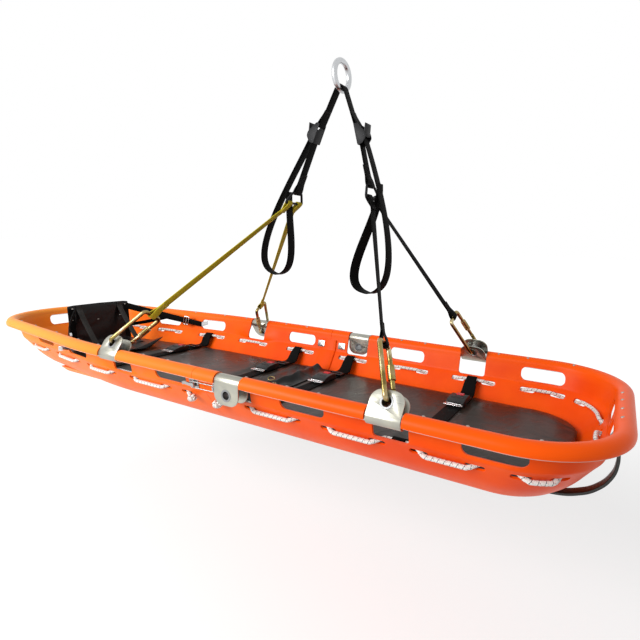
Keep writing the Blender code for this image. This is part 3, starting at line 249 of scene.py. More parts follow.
class Place:
    """A local frame on the basket: u along a piece, v through its thickness, w across it."""

    def __init__(self, origin, u, w):
        self.o = Vector(origin)
        self.u = Vector(u).normalized()
        self.w = (Vector(w) - self.u * Vector(w).dot(self.u)).normalized()
        self.v = self.w.cross(self.u)

    def at(self, u=0.0, v=0.0, w=0.0):
        return self.o + self.u * u + self.v * v + self.w * w

    def moved(self, u=0.0, v=0.0, w=0.0):
        return Place(self.at(u, v, w), self.u, self.w)

    def through(self, u=0.0, v=0.0, w=0.0):
        """The frame moved, and turned so that its w runs through the piece's thickness."""
        return Place(self.at(u, v, w), self.u, self.v)


def prism(place, outline, ws):
    """A bar of one outline (u, v) between two distances along w."""
    return stitch([[place.at(u, v, w) for u, v in outline] for w in ws])


def drum(place, radius, ws, sides=32):
    """A round bar along w."""
    turn = [2 * math.pi * i / sides for i in range(sides)]
    return prism(place, [(radius * math.cos(a), radius * math.sin(a)) for a in turn], ws)


def rounded(size_u, size_v, radius, steps=8):
    """The outline of a rectangle with round corners about the origin."""
    outline = []
    for quarter, (su, sv) in enumerate(((1, 1), (-1, 1), (-1, -1), (1, -1))):
        for i in range(steps + 1):
            a = (quarter + i / steps) * math.pi / 2
            outline.append((su * (size_u / 2 - radius) + radius * math.cos(a),
                            sv * (size_v / 2 - radius) + radius * math.sin(a)))
    return outline


def bow(a, b, c, steps):
    """Points of a curve from a to c that is drawn toward b."""
    return [a * (1 - t) ** 2 + b * 2 * t * (1 - t) + c * t * t for t in (i / steps for i in range(steps + 1))]


def soften(corners, share=0.42, steps=5):
    """A path with its inner corners turned into short curves."""
    out = [corners[0]]
    for a, b, c in zip(corners, corners[1:], corners[2:]):
        reach = share * min(math.dist(a, b), math.dist(b, c))
        start = Vector(b) + (Vector(a) - Vector(b)).normalized() * reach
        end = Vector(b) + (Vector(c) - Vector(b)).normalized() * reach
        out += [tuple(p) for p in bow(start, Vector(b), end, steps)]
    out.append(corners[-1])
    return out


def spaced(path, longest):
    """A path with points added where they lie further apart than longest."""
    out = [path[0]]
    for a, b in zip(path, path[1:]):
        count = max(1, math.ceil(math.dist(a, b) / longest))
        out.extend(tuple(Vector(a).lerp(Vector(b), i / count)) for i in range(1, count + 1))
    return out


def plan(end, inset, z, start=JOINT):
    """Outline of one half at an inset and height, from the near side of the joint round its end."""
    under = max(0.0, inset - LIP_R)
    flat = inset - under
    half = HALF_WIDTH - inset
    if end == "head":
        tip = HEAD_X - flat - HEAD_SLOPE * under
        corner = HEAD_CORNER_R - flat - HEAD_CLOSING * under
        arc_steps, side_steps, end_steps = 20, 44, 6
        quarter = [(start + (tip - corner - start) * i / side_steps, -half) for i in range(side_steps)]
        quarter += [(tip - corner + corner * math.sin(math.pi / 2 * i / arc_steps),
                     -(half - corner + corner * math.cos(math.pi / 2 * i / arc_steps)))
                    for i in range(arc_steps)]
        quarter += [(tip, -(half - corner) * (1 - i / end_steps)) for i in range(end_steps + 1)]
    else:
        tip = FOOT_X + flat + FOOT_SLOPE * under
        arc_x = FOOT_ARC_X + FOOT_CLOSING * under
        arc_y = FOOT_HALF - flat - FOOT_CLOSING * under
        reach, span = arc_x - tip, TAPER_X - arc_x
        first = math.acos(reach * arc_y / math.hypot(half * reach, span * arc_y))
        first -= math.atan2(span * arc_y, half * reach)
        touch = Vector((arc_x - reach * math.sin(first), -arc_y * math.cos(first)))
        corner = Vector((TAPER_X, -half))
        bend_in = corner + Vector((TAPER_BEND, 0.0))
        bend_out = corner + (touch - corner).normalized() * TAPER_BEND
        side_steps, bend_steps, taper_steps, arc_steps = 20, 6, 22, 22
        quarter = [tuple(Vector((-start, -half)).lerp(bend_in, i / side_steps)) for i in range(side_steps)]
        quarter += [tuple(p) for p in bow(bend_in, corner, bend_out, bend_steps)[:-1]]
        quarter += [tuple(bend_out.lerp(touch, i / taper_steps)) for i in range(taper_steps)]
        for i in range(arc_steps + 1):
            a = first + (math.pi / 2 - first) * i / arc_steps
            quarter.append((arc_x - reach * math.sin(a), -arc_y * math.cos(a)))
    quarter[-1] = (quarter[-1][0], 0.0)
    return [Vector((x, y, z)) for x, y in quarter] + [Vector((x, -y, z)) for x, y in reversed(quarter[:-1])]


def wall_inset(z):
    """How far the wall's outer face lies inside the tube's centre line at a height."""
    for (d0, z0), (d1, z1) in zip(WALL_CORNERS, WALL_CORNERS[1:]):
        if z >= z1:
            return d0 + (d1 - d0) * (z0 - z) / (z0 - z1)
    return WALL_CORNERS[-1][0]


class RopeLine:
    """The line of the rope slots on one half: u up the wall, w toward the patient."""

    def __init__(self, end):
        self.low = plan(end, wall_inset(ROPE_Z), ROPE_Z, 0.0)
        self.high = plan(end, wall_inset(ROPE_Z + 0.01), ROPE_Z + 0.01, 0.0)
        self.marks = [0.0]
        for a, b in zip(self.low, self.low[1:]):
            self.marks.append(self.marks[-1] + (b - a).length)
        self.length = self.marks[-1]
        self.turn = 1 if end == "head" else -1
        near = HEAD_SLOTS if end == "head" else FOOT_SLOTS
        self.slots = list(near) + [self.length - s for s in reversed(near)]

    def place(self, s):
        s = min(max(s, 0.0), self.length - 1e-6)
        k = max(i for i, m in enumerate(self.marks) if m <= s)
        t = (s - self.marks[k]) / (self.marks[k + 1] - self.marks[k])
        p = self.low[k].lerp(self.low[k + 1], t)
        along = (self.low[k + 1] - self.low[k]).normalized() * self.turn
        up = self.high[k].lerp(self.high[k + 1], t) - p
        up = (up - along * up.dot(along)).normalized()
        return Place(p, up, up.cross(along))


def wall_path():
    """Section of the sheet from the free lip over the tube and down the wall to the floor."""
    turn = [LIP_START + (math.pi - LIP_START) * i / 16 for i in range(16)]
    lip = [(-LIP_R * math.cos(a), LIP_R * math.sin(a)) for a in turn]
    return lip + spaced(soften(WALL_CORNERS), 0.011)


def within(share):
    """A share kept between 0 and 1."""
    return min(max(share, 0.0), 1.0)


def ease(share):
    """A share with a soft start and end."""
    return within(share) ** 2 * (3 - 2 * within(share))


def pocketed(p, z):
    """The wall is drawn in beside the foot-end brackets, so that they can swing."""
    beside = (POCKET_HALF + POCKET_FADE - abs(p.x - BRACKET_X["foot"])) / POCKET_FADE
    height = within((-z - POCKET_TOP[0]) / POCKET_TOP[1]) * within((z + POCKET_FOOT[0]) / POCKET_FOOT[1])
    push = POCKET_DEPTH * ease(beside) * ease(height)
    return Vector((p.x, p.y - math.copysign(push, p.y), p.z)) if abs(p.y) > SIDE_Y else p


def cutters(end):
    """Every opening of one half."""
    bodies = []
    sign = 1 if end == "head" else -1
    for side in SIDES.values():
        lane = sorted(side * y for y in SIDE_LANE)
        for x in HAND_HOLE_X:
            if x * sign > 0:
                hole = rounded(*HAND_HOLE, HAND_HOLE_R)
                bodies.append(prism(Place((x, 0, HAND_HOLE_Z), (1, 0, 0), (0, 1, 0)), hole, lane))
        for x in BRACKET_X.values():
            if x * sign > 0:
                top = Place((x, 0, WINDOW[1] / 2 - WINDOW_DEPTH), (1, 0, 0), (0, 1, 0))
                bodies.append(prism(top, rounded(*WINDOW, WINDOW_R, 5), lane))
    for y in END_HOLE_Y[end]:
        hole = rounded(END_HOLE_WIDTH, HAND_HOLE[1], HAND_HOLE_R)
        bodies.append(prism(Place((0, y, HAND_HOLE_Z), (0, 1, 0), (1, 0, 0)), hole, END_LANE[end]))
    line = RopeLine(end)
    for s in line.slots:
        here = line.place(s)
        lane = Place(here.o, here.u.cross(here.w), here.w)
        bodies.append(prism(lane, rounded(*SLOT, SLOT_R, 4), SLOT_LANE))
    return bodies


def runner(end, side):
    """A pressed skid rail with a rounded sole and sloping noses."""
    x0, x1 = RAIL_ENDS[end]
    low, top, half = FLOOR_DEPTH + RAIL_DROP, FLOOR_DEPTH - SKIN / 2, RAIL_WIDTH / 2
    keel = [(x0, top), (x0 + RAIL_NOSE, low), (x1 - RAIL_NOSE, low), (x1, top)]
    sole = spaced(soften(keel, 0.30, 4), 0.05)
    across = [(-half, 0.0), (-half * 0.92, 0.72), (-half * 0.72, 0.94), (-half * 0.4, 1.0), (half * 0.4, 1.0),
              (half * 0.72, 0.94), (half * 0.92, 0.72), (half, 0.0)]
    loops = []
    for x, depth in sole:
        loops.append([Vector((x, side * RAIL_Y + y, -(top - 0.0005 + (depth - top) * share)))
                      for y, share in across])
    return stitch(loops)


# Painted light: the foot-end colours are lit copies of the orange and the head-end colours are shaded copies;
# each holds colour, mottle, rubbed runner and the lip's painted highlight.
FOOT_ORANGE_PAINTED_LIT = ("#FF8A18", "#FB760A", "#FAB084", "#FF9A38")
HEAD_ORANGE_PAINTED_SHADE = ("#FC5800", "#F04800", "#F09070", "#FA5800")
PAINTED_LIGHT_TURNS, PAINTED_LIGHT_LEAN = (-1.20, -0.01), (1.0, 1.2, 0.0)
shells = {}
for end in ("head", "foot"):
    sheet = moulded_polyethylene("orange_polyethylene_" + end, FOOT_ORANGE_PAINTED_LIT, HEAD_ORANGE_PAINTED_SHADE)
    path = wall_path()
    loops = [[pocketed(p, z) for p in plan(end, d, z)] for d, z in path]
    verts, faces = stitch(loops, caps=False, closed=False)
    faces.append(tuple(range((len(loops) - 1) * len(loops[0]), len(loops) * len(loops[0]))))
    shells[end] = piece(end + "_shell_skin", verts, faces, sheet)
    lip_up = max(shells[end].data.polygons, key=lambda f: f.center.z)
    skin = shells[end].modifiers.new("sheet", "SOLIDIFY")
    skin.thickness = SKIN
    skin.offset = 1.0 if lip_up.normal.z > 0 else -1.0
    skin.use_even_offset = True
    settle(shells[end])
    cut(shells[end], cutters(end))
    rails = piece(end + "_runners", *gather([runner(end, side) for side in SIDES.values()]), sheet, sharp=50)
    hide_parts(end + "_shell")

# Lip edge: a thin pale bead on the trimmed edge of the rolled lip shows as a thin line below the lip, between
# the brackets. Its pale colour is a painted highlight.
LIP_EDGE, LIP_EDGE_R, BRACKET_CLEAR = (0.0152, -0.0056), 0.0015, 0.044
DOME_STEPS = ((0.16, 0.92), (0.28, 0.72), (0.34, 0.40))


def tube_along(name, points, radius, mat, body="basket", sides=16, closed=False):
    """A round bar, wire or cord through points, without twist and with domed ends."""
    count = len(points)
    runs = []
    for i in range(count):
        before = points[i - 1] if closed or i else points[i]
        after = points[(i + 1) % count] if closed or i < count - 1 else points[i]
        runs.append((after - before).normalized())
    side = runs[0].orthogonal().normalized()
    loops = []
    for i, p in enumerate(points):
        side = (side - runs[i] * side.dot(runs[i])).normalized()
        up = runs[i].cross(side)
        loops.append([p + (side * math.cos(a) + up * math.sin(a)) * radius
                      for a in (2 * math.pi * k / sides for k in range(sides))])
    if closed:
        last = loops[-1]
        shift = min(range(sides), key=lambda k: (last[k] - loops[0][0]).length)
        loops.append([loops[0][(k - shift) % sides] for k in range(sides)])
    else:
        for inner, out, at_end in ((0, -1, False), (-1, 1, True)):
            centre, ring = points[inner], loops[inner]
            dome = []
            for lift, share in DOME_STEPS:
                dome.append([centre + (q - centre) * share + runs[inner] * out * lift * radius for q in ring])
            loops = loops + dome if at_end else list(reversed(dome)) + loops
    return piece(name, *stitch(loops, caps=not closed), mat, body, sharp=60)


# Painted highlight: the bead's pale pink colour stands for the bright line along the lip's trimmed edge.
lip_edge_highlight, tree = finish("polyethylene_edge_painted_highlight", "#D9A898", 0.0, 0.42, IOR=1.51)
edge_mottle = add(tree, "TexNoise", {"Scale": 60.0, "Detail": 4.0, "Roughness": 0.7})
tone = add(tree, "Mix", {"data_type": "RGBA", 0: edge_mottle, 6: linear("#C88468"), 7: linear("#E8C6BC")})
feed(lip_edge_highlight, Base_Color=tone)
for end in shells:
    line = plan(end, -LIP_EDGE[0], LIP_EDGE[1])
    line = [p for p in line if not any(abs(p.x - x) < BRACKET_CLEAR for x in BRACKET_X.values())]
    runs, run = [], [line[0]]
    for a, b in zip(line, line[1:]):
        if (b - a).length > BRACKET_CLEAR:
            runs.append(run)
            run = []
        run.append(b)
    runs.append(run)
    for k, run in enumerate(part for part in runs if len(part) > 2):
        bead = tube_along(f"{end}_lip_edge_{k + 1}", run, LIP_EDGE_R, lip_edge_highlight, sides=10)

# Joint lap: the foot half's joggled flange, pressed in one sheet with it, slides inside the head half.
# The steps run from its root under the foot half's skin to its free edge.
LAP, LAP_ROOT, LAP_TOP = 0.024, 0.040, -0.014
LAP_STEPS = ((-LAP_ROOT, 0.0018, 0.0046), (-0.030, 0.0018, 0.0066), (-0.020, 0.0018, 0.0080),
             (-0.010, 0.0030, 0.0088), (-0.006, 0.0050, 0.0090), (LAP - 0.0012, 0.0050, 0.0090),
             (LAP, 0.0058, 0.0082))


def lap_band():
    """The foot half's joggled lap inside the head half."""
    path = [(wall_inset(LAP_TOP), LAP_TOP)] + [tuple(p) for p in soften(WALL_CORNERS)[1:] if p[1] < LAP_TOP]
    loops = []
    for x, outer, inner in LAP_STEPS:
        rows = []
        for depth in (outer, inner):
            side = []
            for i, (d, z) in enumerate(path):
                (d0, z0), (d1, z1) = path[max(i - 1, 0)], path[min(i + 1, len(path) - 1)]
                step = math.hypot(d1 - d0, z1 - z0)
                side.append((-(HALF_WIDTH - d + (z1 - z0) / step * depth), z + (d1 - d0) / step * depth))
            rows.append(side + [(-y, z) for y, z in reversed(side)])
        loops.append([Vector((x, y, z)) for y, z in rows[0] + list(reversed(rows[1]))])
    return stitch(loops)


lap = piece("joint_lap", *lap_band(), bpy.data.materials["orange_polyethylene_foot"], sharp=50)

# Rim tubes: each half is stiffened by one bent tube of bright zinc-plated steel inside its rolled lip.
# A thin line of it shows under the lip's outer edge and in the bracket windows.


def bare_metal(name, colour, rough, grain):
    """Bare or plated metal: a cool grey sheen, broken up by faint cloudy spangle."""
    mat, tree = finish(name, colour, 1.0, rough)
    place = add(tree, "TexCoord", {}, "Object")
    spangle = add(tree, "TexNoise", {"Scale": grain, "Detail": 4.0, "Roughness": 0.65, "Vector": place})
    dull = add(tree, "MapRange", {"Value": spangle, "From Min": 0.3, "From Max": 0.7, "To Min": rough - 0.09,
                                  "To Max": rough + 0.12})
    relief = add(tree, "Bump", {"Strength": 0.15, "Distance": 0.0004, "Height": spangle})
    return feed(mat, Roughness=dull, Normal=relief)


bright_tube = bare_metal("zinc_plated_tube", "#C4C6C8", 0.30, 160.0)
for end in ("head", "foot"):
    tube = tube_along(end + "_rim_bar", plan(end, 0.0, 0.0), TUBE_R, bright_tube, sides=20)
    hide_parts(end + "_rim_tube")

# Lip rivets: small domed aluminium rivets pin the rolled lip to the tube along its inner top edge.
# Four more stand across the head end.
RIVET_X = {"head": (0.150, 0.262, 0.332, 0.560, 0.640, 0.760),
           "foot": (-0.040, -0.112, -0.205, -0.405, -0.500, -0.640, -0.800, -0.930)}
RIVET_END_Y = (-0.085, -0.030, 0.030, 0.085)
RIVET_R, RIVET_RISE, RIVET_SUNK = 0.0036, 0.0020, -0.0012
RIVET_LEAN = math.radians(24)


def run_at(points, k):
    """Direction of a path at its point k."""
    return (points[min(k + 1, len(points) - 1)] - points[max(k - 1, 0)]).normalized()


def dome(place, radius, rise, rings=5, sides=20):
    """A low round head standing on a surface along v."""
    loops = []
    for k in range(rings):
        a = math.pi / 2 * k / rings
        r = radius * math.cos(a)
        loops.append([place.at(r * math.cos(t), RIVET_SUNK if k == 0 else rise * math.sin(a), r * math.sin(t))
                      for t in (2 * math.pi * i / sides for i in range(sides))])
    return stitch(loops)


heads = []
for end, stops in RIVET_X.items():
    rim = plan(end, 0.0, 0.0)
    for x in stops:
        for side in SIDES.values():
            near = min((p for p in rim if p.y * side > 0), key=lambda p: abs(p.x - x))
            along = run_at(rim, rim.index(near))
            inside = Vector((0.0, -side, 0.0))
            out = (Vector((0, 0, 1)) * math.cos(RIVET_LEAN) + inside * math.sin(RIVET_LEAN)).normalized()
            heads.append(dome(Place(near + out * (LIP_R + SKIN), along, along.cross(out)), RIVET_R, RIVET_RISE))
for y in RIVET_END_Y:
    out = Vector((-math.sin(RIVET_LEAN), 0.0, math.cos(RIVET_LEAN)))
    seat = Vector((HEAD_X, y, 0.0)) + out * (LIP_R + SKIN)
    heads.append(dome(Place(seat, (0, 1, 0), Vector((0, 1, 0)).cross(out)), RIVET_R, RIVET_RISE))
aluminium = bare_metal("aluminium_rivet", "#A59C94", 0.36, 400.0)
rivets = piece("lip_rivets", *gather(heads), aluminium, sharp=70)

# Grab ropes: one length of white braided nylon per half, laced out and in through the slots.
# A blue-black and a red tracer run round the sheath, and a stopper knot holds each end by the joint.
ROPE_R, ROPE_OUT, ROPE_IN, ROPE_PASS = 0.00475, -0.0058, 0.0128, 0.017
KNOT_BACK, KNOT_PUSH, KNOT_HALF, ROPE_TAIL = 0.027, -0.006, 0.008, 0.012
STRAND_RISE, LAY = 0.00062, 0.027
ROPE_SIDES, ROPE_STEP, ROPE_STOPS, KNOT_DRAWN = 18, 0.0022, 420, 0.95
SHEATH_PITCH = 0.0120
TRACERS = ((0.5, 0.070), (0.25, 0.035))


def braided_nylon():
    """Braided nylon sheath: bright white plaits with a fuzzy sheen, and dark and red tracer yarns."""
    mat, tree = finish("braided_nylon_rope", "#F2F0EA", 0.0, 0.72, Sheen_Weight=0.35, IOR=1.53)
    lay = add(tree, "UVMap", {"uv_map": "lay"})
    gone, around = (add(tree, "SeparateXYZ", {"Vector": lay}, axis) for axis in "XY")
    along = add(tree, "Math", {"operation": "DIVIDE", 0: gone, 1: SHEATH_PITCH})
    left = add(tree, "Math", {"operation": "ADD", 0: along, 1: around})
    right_hand = add(tree, "Math", {"operation": "SUBTRACT", 0: along, 1: around})
    plait = []
    for lean in (left, right_hand):
        turn = add(tree, "Math", {"operation": "MULTIPLY", 0: lean, 1: 2 * math.pi * 3})
        plait.append(add(tree, "Math", {"operation": "SINE", 0: turn}))
    weave = add(tree, "Math", {"operation": "MAXIMUM", 0: plait[0], 1: plait[1]})
    flecks = []
    for lean, (centre, width) in zip((left, right_hand), TRACERS):
        turn = add(tree, "Math", {"operation": "FRACT", 0: lean})
        away = add(tree, "Math", {"operation": "SUBTRACT", 0: turn, 1: centre})
        size = add(tree, "Math", {"operation": "ABSOLUTE", 0: away})
        band = add(tree, "Math", {"operation": "LESS_THAN", 0: size, 1: width})
        over = add(tree, "Math", {"operation": "GREATER_THAN", 0: weave, 1: 0.2})
        flecks.append(add(tree, "Math", {"operation": "MULTIPLY", 0: band, 1: over}))
    soiled = add(tree, "TexNoise", {"Scale": 38.0, "Detail": 3.0})
    white = add(tree, "Mix", {"data_type": "RGBA", 0: soiled, 6: linear("#F7F6F2"), 7: linear("#D9D5CC")})
    blue = add(tree, "Mix", {"data_type": "RGBA", 0: flecks[0], 6: white, 7: linear("#22263C")})
    red = add(tree, "Mix", {"data_type": "RGBA", 0: flecks[1], 6: blue, 7: linear("#B4434A")})
    relief = add(tree, "Bump", {"Strength": 0.6, "Distance": 0.0006, "Height": weave})
    return feed(mat, Base_Color=red, Normal=relief)


def eased(points):
    """A smooth curve through points, resampled at an even step."""
    out = []
    for i in range(len(points) - 1):
        p0, p1, p2, p3 = points[max(i - 1, 0)], points[i], points[i + 1], points[min(i + 2, len(points) - 1)]
        count = max(1, round((p2 - p1).length / ROPE_STEP))
        for k in range(count):
            t = k / count
            out.append(0.5 * (2 * p1 + (p2 - p0) * t + (2 * p0 - 5 * p1 + 4 * p2 - p3) * t * t
                              + (3 * p1 - p0 - 3 * p2 + p3) * t ** 3))
    return out + [points[-1]]


def cord_mesh(name, marks, share, mat):
    """A cord with three raised strands and a UV layer that holds the distance along and the turn around."""
    points, loops, lay = eased(marks), [], []
    side = (points[1] - points[0]).orthogonal().normalized()
    gone = 0.0
    for i, p in enumerate(points):
        run = run_at(points, i)
        gone += (p - points[i - 1]).length if i else 0.0
        side = (side - run * side.dot(run)).normalized()
        up = run.cross(side)
        loop, row = [], []
        for k in range(ROPE_SIDES):
            a = 2 * math.pi * k / ROPE_SIDES
            r = ROPE_R - STRAND_RISE / 2 + STRAND_RISE / 2 * math.cos(3 * (a - 2 * math.pi * gone / LAY))
            loop.append(p + (side * math.cos(a) + up * math.sin(a)) * r * share)
            row.append((gone, k / ROPE_SIDES))
        loops.append(loop)
        lay.append(row)
    obj = piece(name, *stitch(loops), mat, sharp=70)
    layer = obj.data.uv_layers.new(name="lay")
    for face in obj.data.polygons:
        first = obj.data.loops[face.loop_start].vertex_index % ROPE_SIDES
        for corner in face.loop_indices:
            v = obj.data.loops[corner].vertex_index
            s, turn = lay[v // ROPE_SIDES][v % ROPE_SIDES]
            layer.data[corner].uv = (s, turn + 1.0 if turn < 0.01 and first > ROPE_SIDES // 2 else turn)
    return obj


def knot_turns(centre, along, out):
    """The two turns of a figure-of-eight stopper, drawn up into a fist."""
    path = []
    for i in range(33):
        a = 2 * math.pi * i / 32 * 2
        wide = ROPE_R * (1.05 + 0.25 * math.cos(a * 1.5))
        path.append(centre + along * (ROPE_R * 1.15 * math.sin(a / 2 * 3)) + out * (wide * math.cos(a))
                    + along.cross(out) * (wide * math.sin(a)))
    return path


nylon = braided_nylon()
for end in ("head", "foot"):
    line = RopeLine(end)
    slots = line.slots
    knots = (slots[0] - KNOT_BACK, line.length - slots[0] + KNOT_BACK)
    whole = knots[1] - knots[0] + 2 * ROPE_TAIL
    stops = [knots[0] - ROPE_TAIL + whole * i / ROPE_STOPS for i in range(ROPE_STOPS + 1)]
    points = []
    for s in stops:
        reach, step = ROPE_OUT, ROPE_IN - ROPE_OUT
        for c in slots:
            reach += step * ease((s - c + ROPE_PASS) / (2 * ROPE_PASS))
            step = -step
        push = KNOT_PUSH if s < knots[0] + KNOT_HALF or s > knots[1] - KNOT_HALF else 0.0
        here = line.place(s)
        points.append(here.o + here.w * (reach + push))
    rope = cord_mesh(end + "_grab_rope", points, 1.0, nylon)
    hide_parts(end + "_rope")
    for number, s in enumerate(knots, 1):
        here = line.place(s)
        along = here.w.cross(here.u)
        centre = here.o + here.w * (ROPE_OUT + KNOT_PUSH)
        knot = cord_mesh(f"{end}_rope_knot_{number}", knot_turns(centre, along, here.w), KNOT_DRAWN, nylon)

# Mattress halves: thin foam pads sealed in dark brown-grey vinyl, lying in the shells.
# The cover is slack over the foam, so it wrinkles between the belts and shines where it stretches.
PAD_BASE = -FLOOR_DEPTH + SKIN + 0.0004
PAD_TOP, PAD_SIDE_GAP, PAD_JOINT = -0.0975, 0.0062, 0.0012
PAD_LINE = ((0.0, -0.006), (0.003, -0.001), (0.012, 0.0), (0.045, 0.0021), (0.090, 0.0030))
PAD_STEP_UP, PAD_STEP_REACH = 0.0058, {"foot": 0.046, "head": 0.027}
PAD_EDGE, PAD_HEM, PAD_WAIST = 0.006, 0.007, -0.118
PAD_SHRINK, PUFF_CAP = 0.0016, 0.0050
VOXEL = 0.006
PRESSURE, CLOTH_FRAMES = 4.0, 20
BELT_X, REST_FRONT = (-0.541, -0.118, 0.097, 0.503), -0.630
HELD_HALF, HELD_FADE, HELD_CAP = 0.026, 0.030, 0.0012
FLAP_HALF = (0.052, 0.184)


def vinyl(name, colour, deep):
    """Vinyl-coated fabric: a dark leathery film, glossy on the stretched faces and dull in the creases."""
    mat, tree = finish(name, colour, 0.0, 0.34, IOR=1.52, Specular_IOR_Level=0.19)
    place = add(tree, "TexCoord", {}, "Object")
    cloud = add(tree, "TexNoise", {"Scale": 5.0, "Detail": 4.0, "Roughness": 0.6, "Vector": place})
    shade = add(tree, "Mix", {"data_type": "RGBA", 0: cloud, 6: linear(colour), 7: linear(deep)})
    worn = add(tree, "MapRange", {"Value": cloud, "From Min": 0.3, "From Max": 0.7, "To Min": 0.24,
                                  "To Max": 0.44})
    grain = add(tree, "TexVoronoi", {"Scale": 420.0, "Vector": place})
    crease = add(tree, "TexNoise", {"Scale": 16.0, "Detail": 3.0, "Distortion": 0.8, "Vector": place})
    folds = add(tree, "Bump", {"Strength": 0.55, "Distance": 0.006, "Height": crease})
    relief = add(tree, "Bump", {"Strength": 0.10, "Distance": 0.0004, "Height": grain, "Normal": folds})
    return feed(mat, Base_Color=shade, Roughness=worn, Normal=relief)


def pad_inset(z):
    """Inset of the pad's side from the tube's centre line: the wall's inner face and a finger's gap."""
    (d0, z0), (d1, z1) = WALL_CORNERS[3:5]
    slope = math.atan2(d1 - d0, z0 - z1)
    clear = (SKIN + PAD_SIDE_GAP) / math.cos(slope)
    return d0 + (d1 - d0) * (z0 - z) / (z0 - z1) + clear


def pad_height(y):
    """Height of the pad's top at a distance from the middle line."""
    edge = pad_inset(PAD_TOP - PAD_EDGE)
    inset = HALF_WIDTH - abs(y)
    for (a, za), (b, zb) in zip(PAD_LINE, PAD_LINE[1:]):
        if inset - edge <= b:
            return PAD_TOP + za + (zb - za) * max(0.0, inset - edge - a) / (b - a)
    return PAD_TOP + PAD_LINE[-1][1]


def held_down(p):
    """How far the cover may rise at a point: little under a belt or the foot rest, fully between them."""
    x = p.x + SEAT.x
    clear = min([abs(x - belt_x) - HELD_HALF for belt_x in BELT_X] + [x - REST_FRONT, abs(x) - FLAP_HALF[0]])
    return HELD_CAP + (PUFF_CAP - HELD_CAP) * ease(clear / HELD_FADE)


def puffed(obj):
    """Blows the cover up a little as cloth, no point further than its cap, and keeps the result."""
    rest = [v.co.copy() for v in obj.data.vertices]
    cloth = obj.modifiers.new("cover", "CLOTH")
    cloth.settings.quality = 4
    cloth.settings.mass = 0.25
    cloth.settings.tension_stiffness = 12.0
    cloth.settings.bending_stiffness = 0.4
    cloth.settings.use_pressure = True
    cloth.settings.uniform_pressure_force = PRESSURE
    cloth.settings.effector_weights.gravity = 0.0
    cloth.point_cache.frame_end = CLOTH_FRAMES
    scene = bpy.context.scene
    for number in range(1, CLOTH_FRAMES + 1):
        scene.frame_set(number)
    graph = bpy.context.evaluated_depsgraph_get()
    made = [v.co.copy() for v in obj.evaluated_get(graph).data.vertices]
    obj.modifiers.clear()
    scene.frame_set(1)
    for vert, start, end in zip(obj.data.vertices, rest, made):
        move = end - start
        vert.co = start + move * min(1.0, held_down(start) / max(move.length, 1e-9))


dark_vinyl = vinyl("vinyl_coated_cover", "#2C231C", "#1E1813")
for end in ("head", "foot"):
    sign = 1 if end == "head" else -1
    levels = [(pad_inset(PAD_BASE + 0.004) + PAD_EDGE, PAD_BASE),
              (pad_inset(PAD_BASE + PAD_HEM), PAD_BASE + PAD_HEM),
              (pad_inset(PAD_WAIST), PAD_WAIST)]
    edge = pad_inset(PAD_TOP - PAD_EDGE)
    levels += [(edge + step, PAD_TOP + rise) for step, rise in PAD_LINE]
    shrink = PAD_SHRINK
    loops = [plan(end, d + shrink, z - shrink if z > PAD_TOP - 0.01 else z + shrink * 0.3, PAD_JOINT + shrink)
             for d, z in levels]
    pad = piece(end + "_pad", *stitch(loops), dark_vinyl)
    x0, x1 = sorted((-sign * 0.01, sign * PAD_STEP_REACH[end]))
    lane = Place((0, 0, 0), (1, 0, 0), (0, 1, 0))
    step_cut = prism(lane, [(x0, -PAD_BASE - PAD_STEP_UP), (x1, -PAD_BASE - PAD_STEP_UP),
                            (x1, -PAD_BASE + 0.02), (x0, -PAD_BASE + 0.02)], (-0.3, 0.3))
    cut(pad, [step_cut])
    remesh = pad.modifiers.new("weave", "REMESH")
    remesh.mode = "VOXEL"
    remesh.voxel_size = VOXEL
    settle(pad)
    puffed(pad)
    fine = pad.modifiers.new("fine", "SUBSURF")
    fine.levels = fine.render_levels = 1
    settle(pad, sharp=80)
    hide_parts(end + "_mattress")

# Joint flap: a slack strip of black vinyl thrown over the gap between the mattress halves, rucked up along the
# middle in waves.
FLAP_T, FLAP_REST, FLAP_CREST, FLAP_SLACK = 0.0014, 0.0022, 0.020, 1.02
FLAP_ROWS, FLAP_COLS = 36, 64


def flap_top(u, t):
    """The flap's middle surface at u along the stretcher and t across it, both from -1 to 1."""
    x, y = u * FLAP_HALF[0] + 0.006 * math.sin(t * 4.2) * (1 - u * u) + 0.006, t * FLAP_HALF[1]
    ruck = math.exp(-((u - 0.16 - 0.14 * math.sin(t * 6.1)) / 0.27) ** 2)
    ruck *= 0.76 + 0.24 * math.sin(t * 6.3 - 0.4)
    small = 0.0018 * (1 + math.sin(t * 19.0 + u * 7.0)) * (1 - abs(u) ** 4)
    return Vector((x, y, pad_height(y) + FLAP_REST + FLAP_CREST * ruck + small))


rows, cols = ([-1 + 2 * i / count for i in range(count + 1)] for count in (FLAP_ROWS, FLAP_COLS))
cloth_area = 0.0
for u0, u1 in zip(rows, rows[1:]):
    for t0, t1 in zip(cols, cols[1:]):
        corner = flap_top(u0, t0)
        cloth_area += (flap_top(u1, t0) - corner).cross(flap_top(u0, t1) - corner).length
loops = []
for t in cols:
    over = [flap_top(u, t) + Vector((0, 0, FLAP_T / 2)) for u in rows]
    loops.append(over + [p - Vector((0, 0, FLAP_T)) for p in reversed(over)])
black_vinyl = vinyl("vinyl_joint_flap", "#0E0D0B", "#070606")
flap = piece("joint_flap", *stitch(loops), black_vinyl, sharp=70)

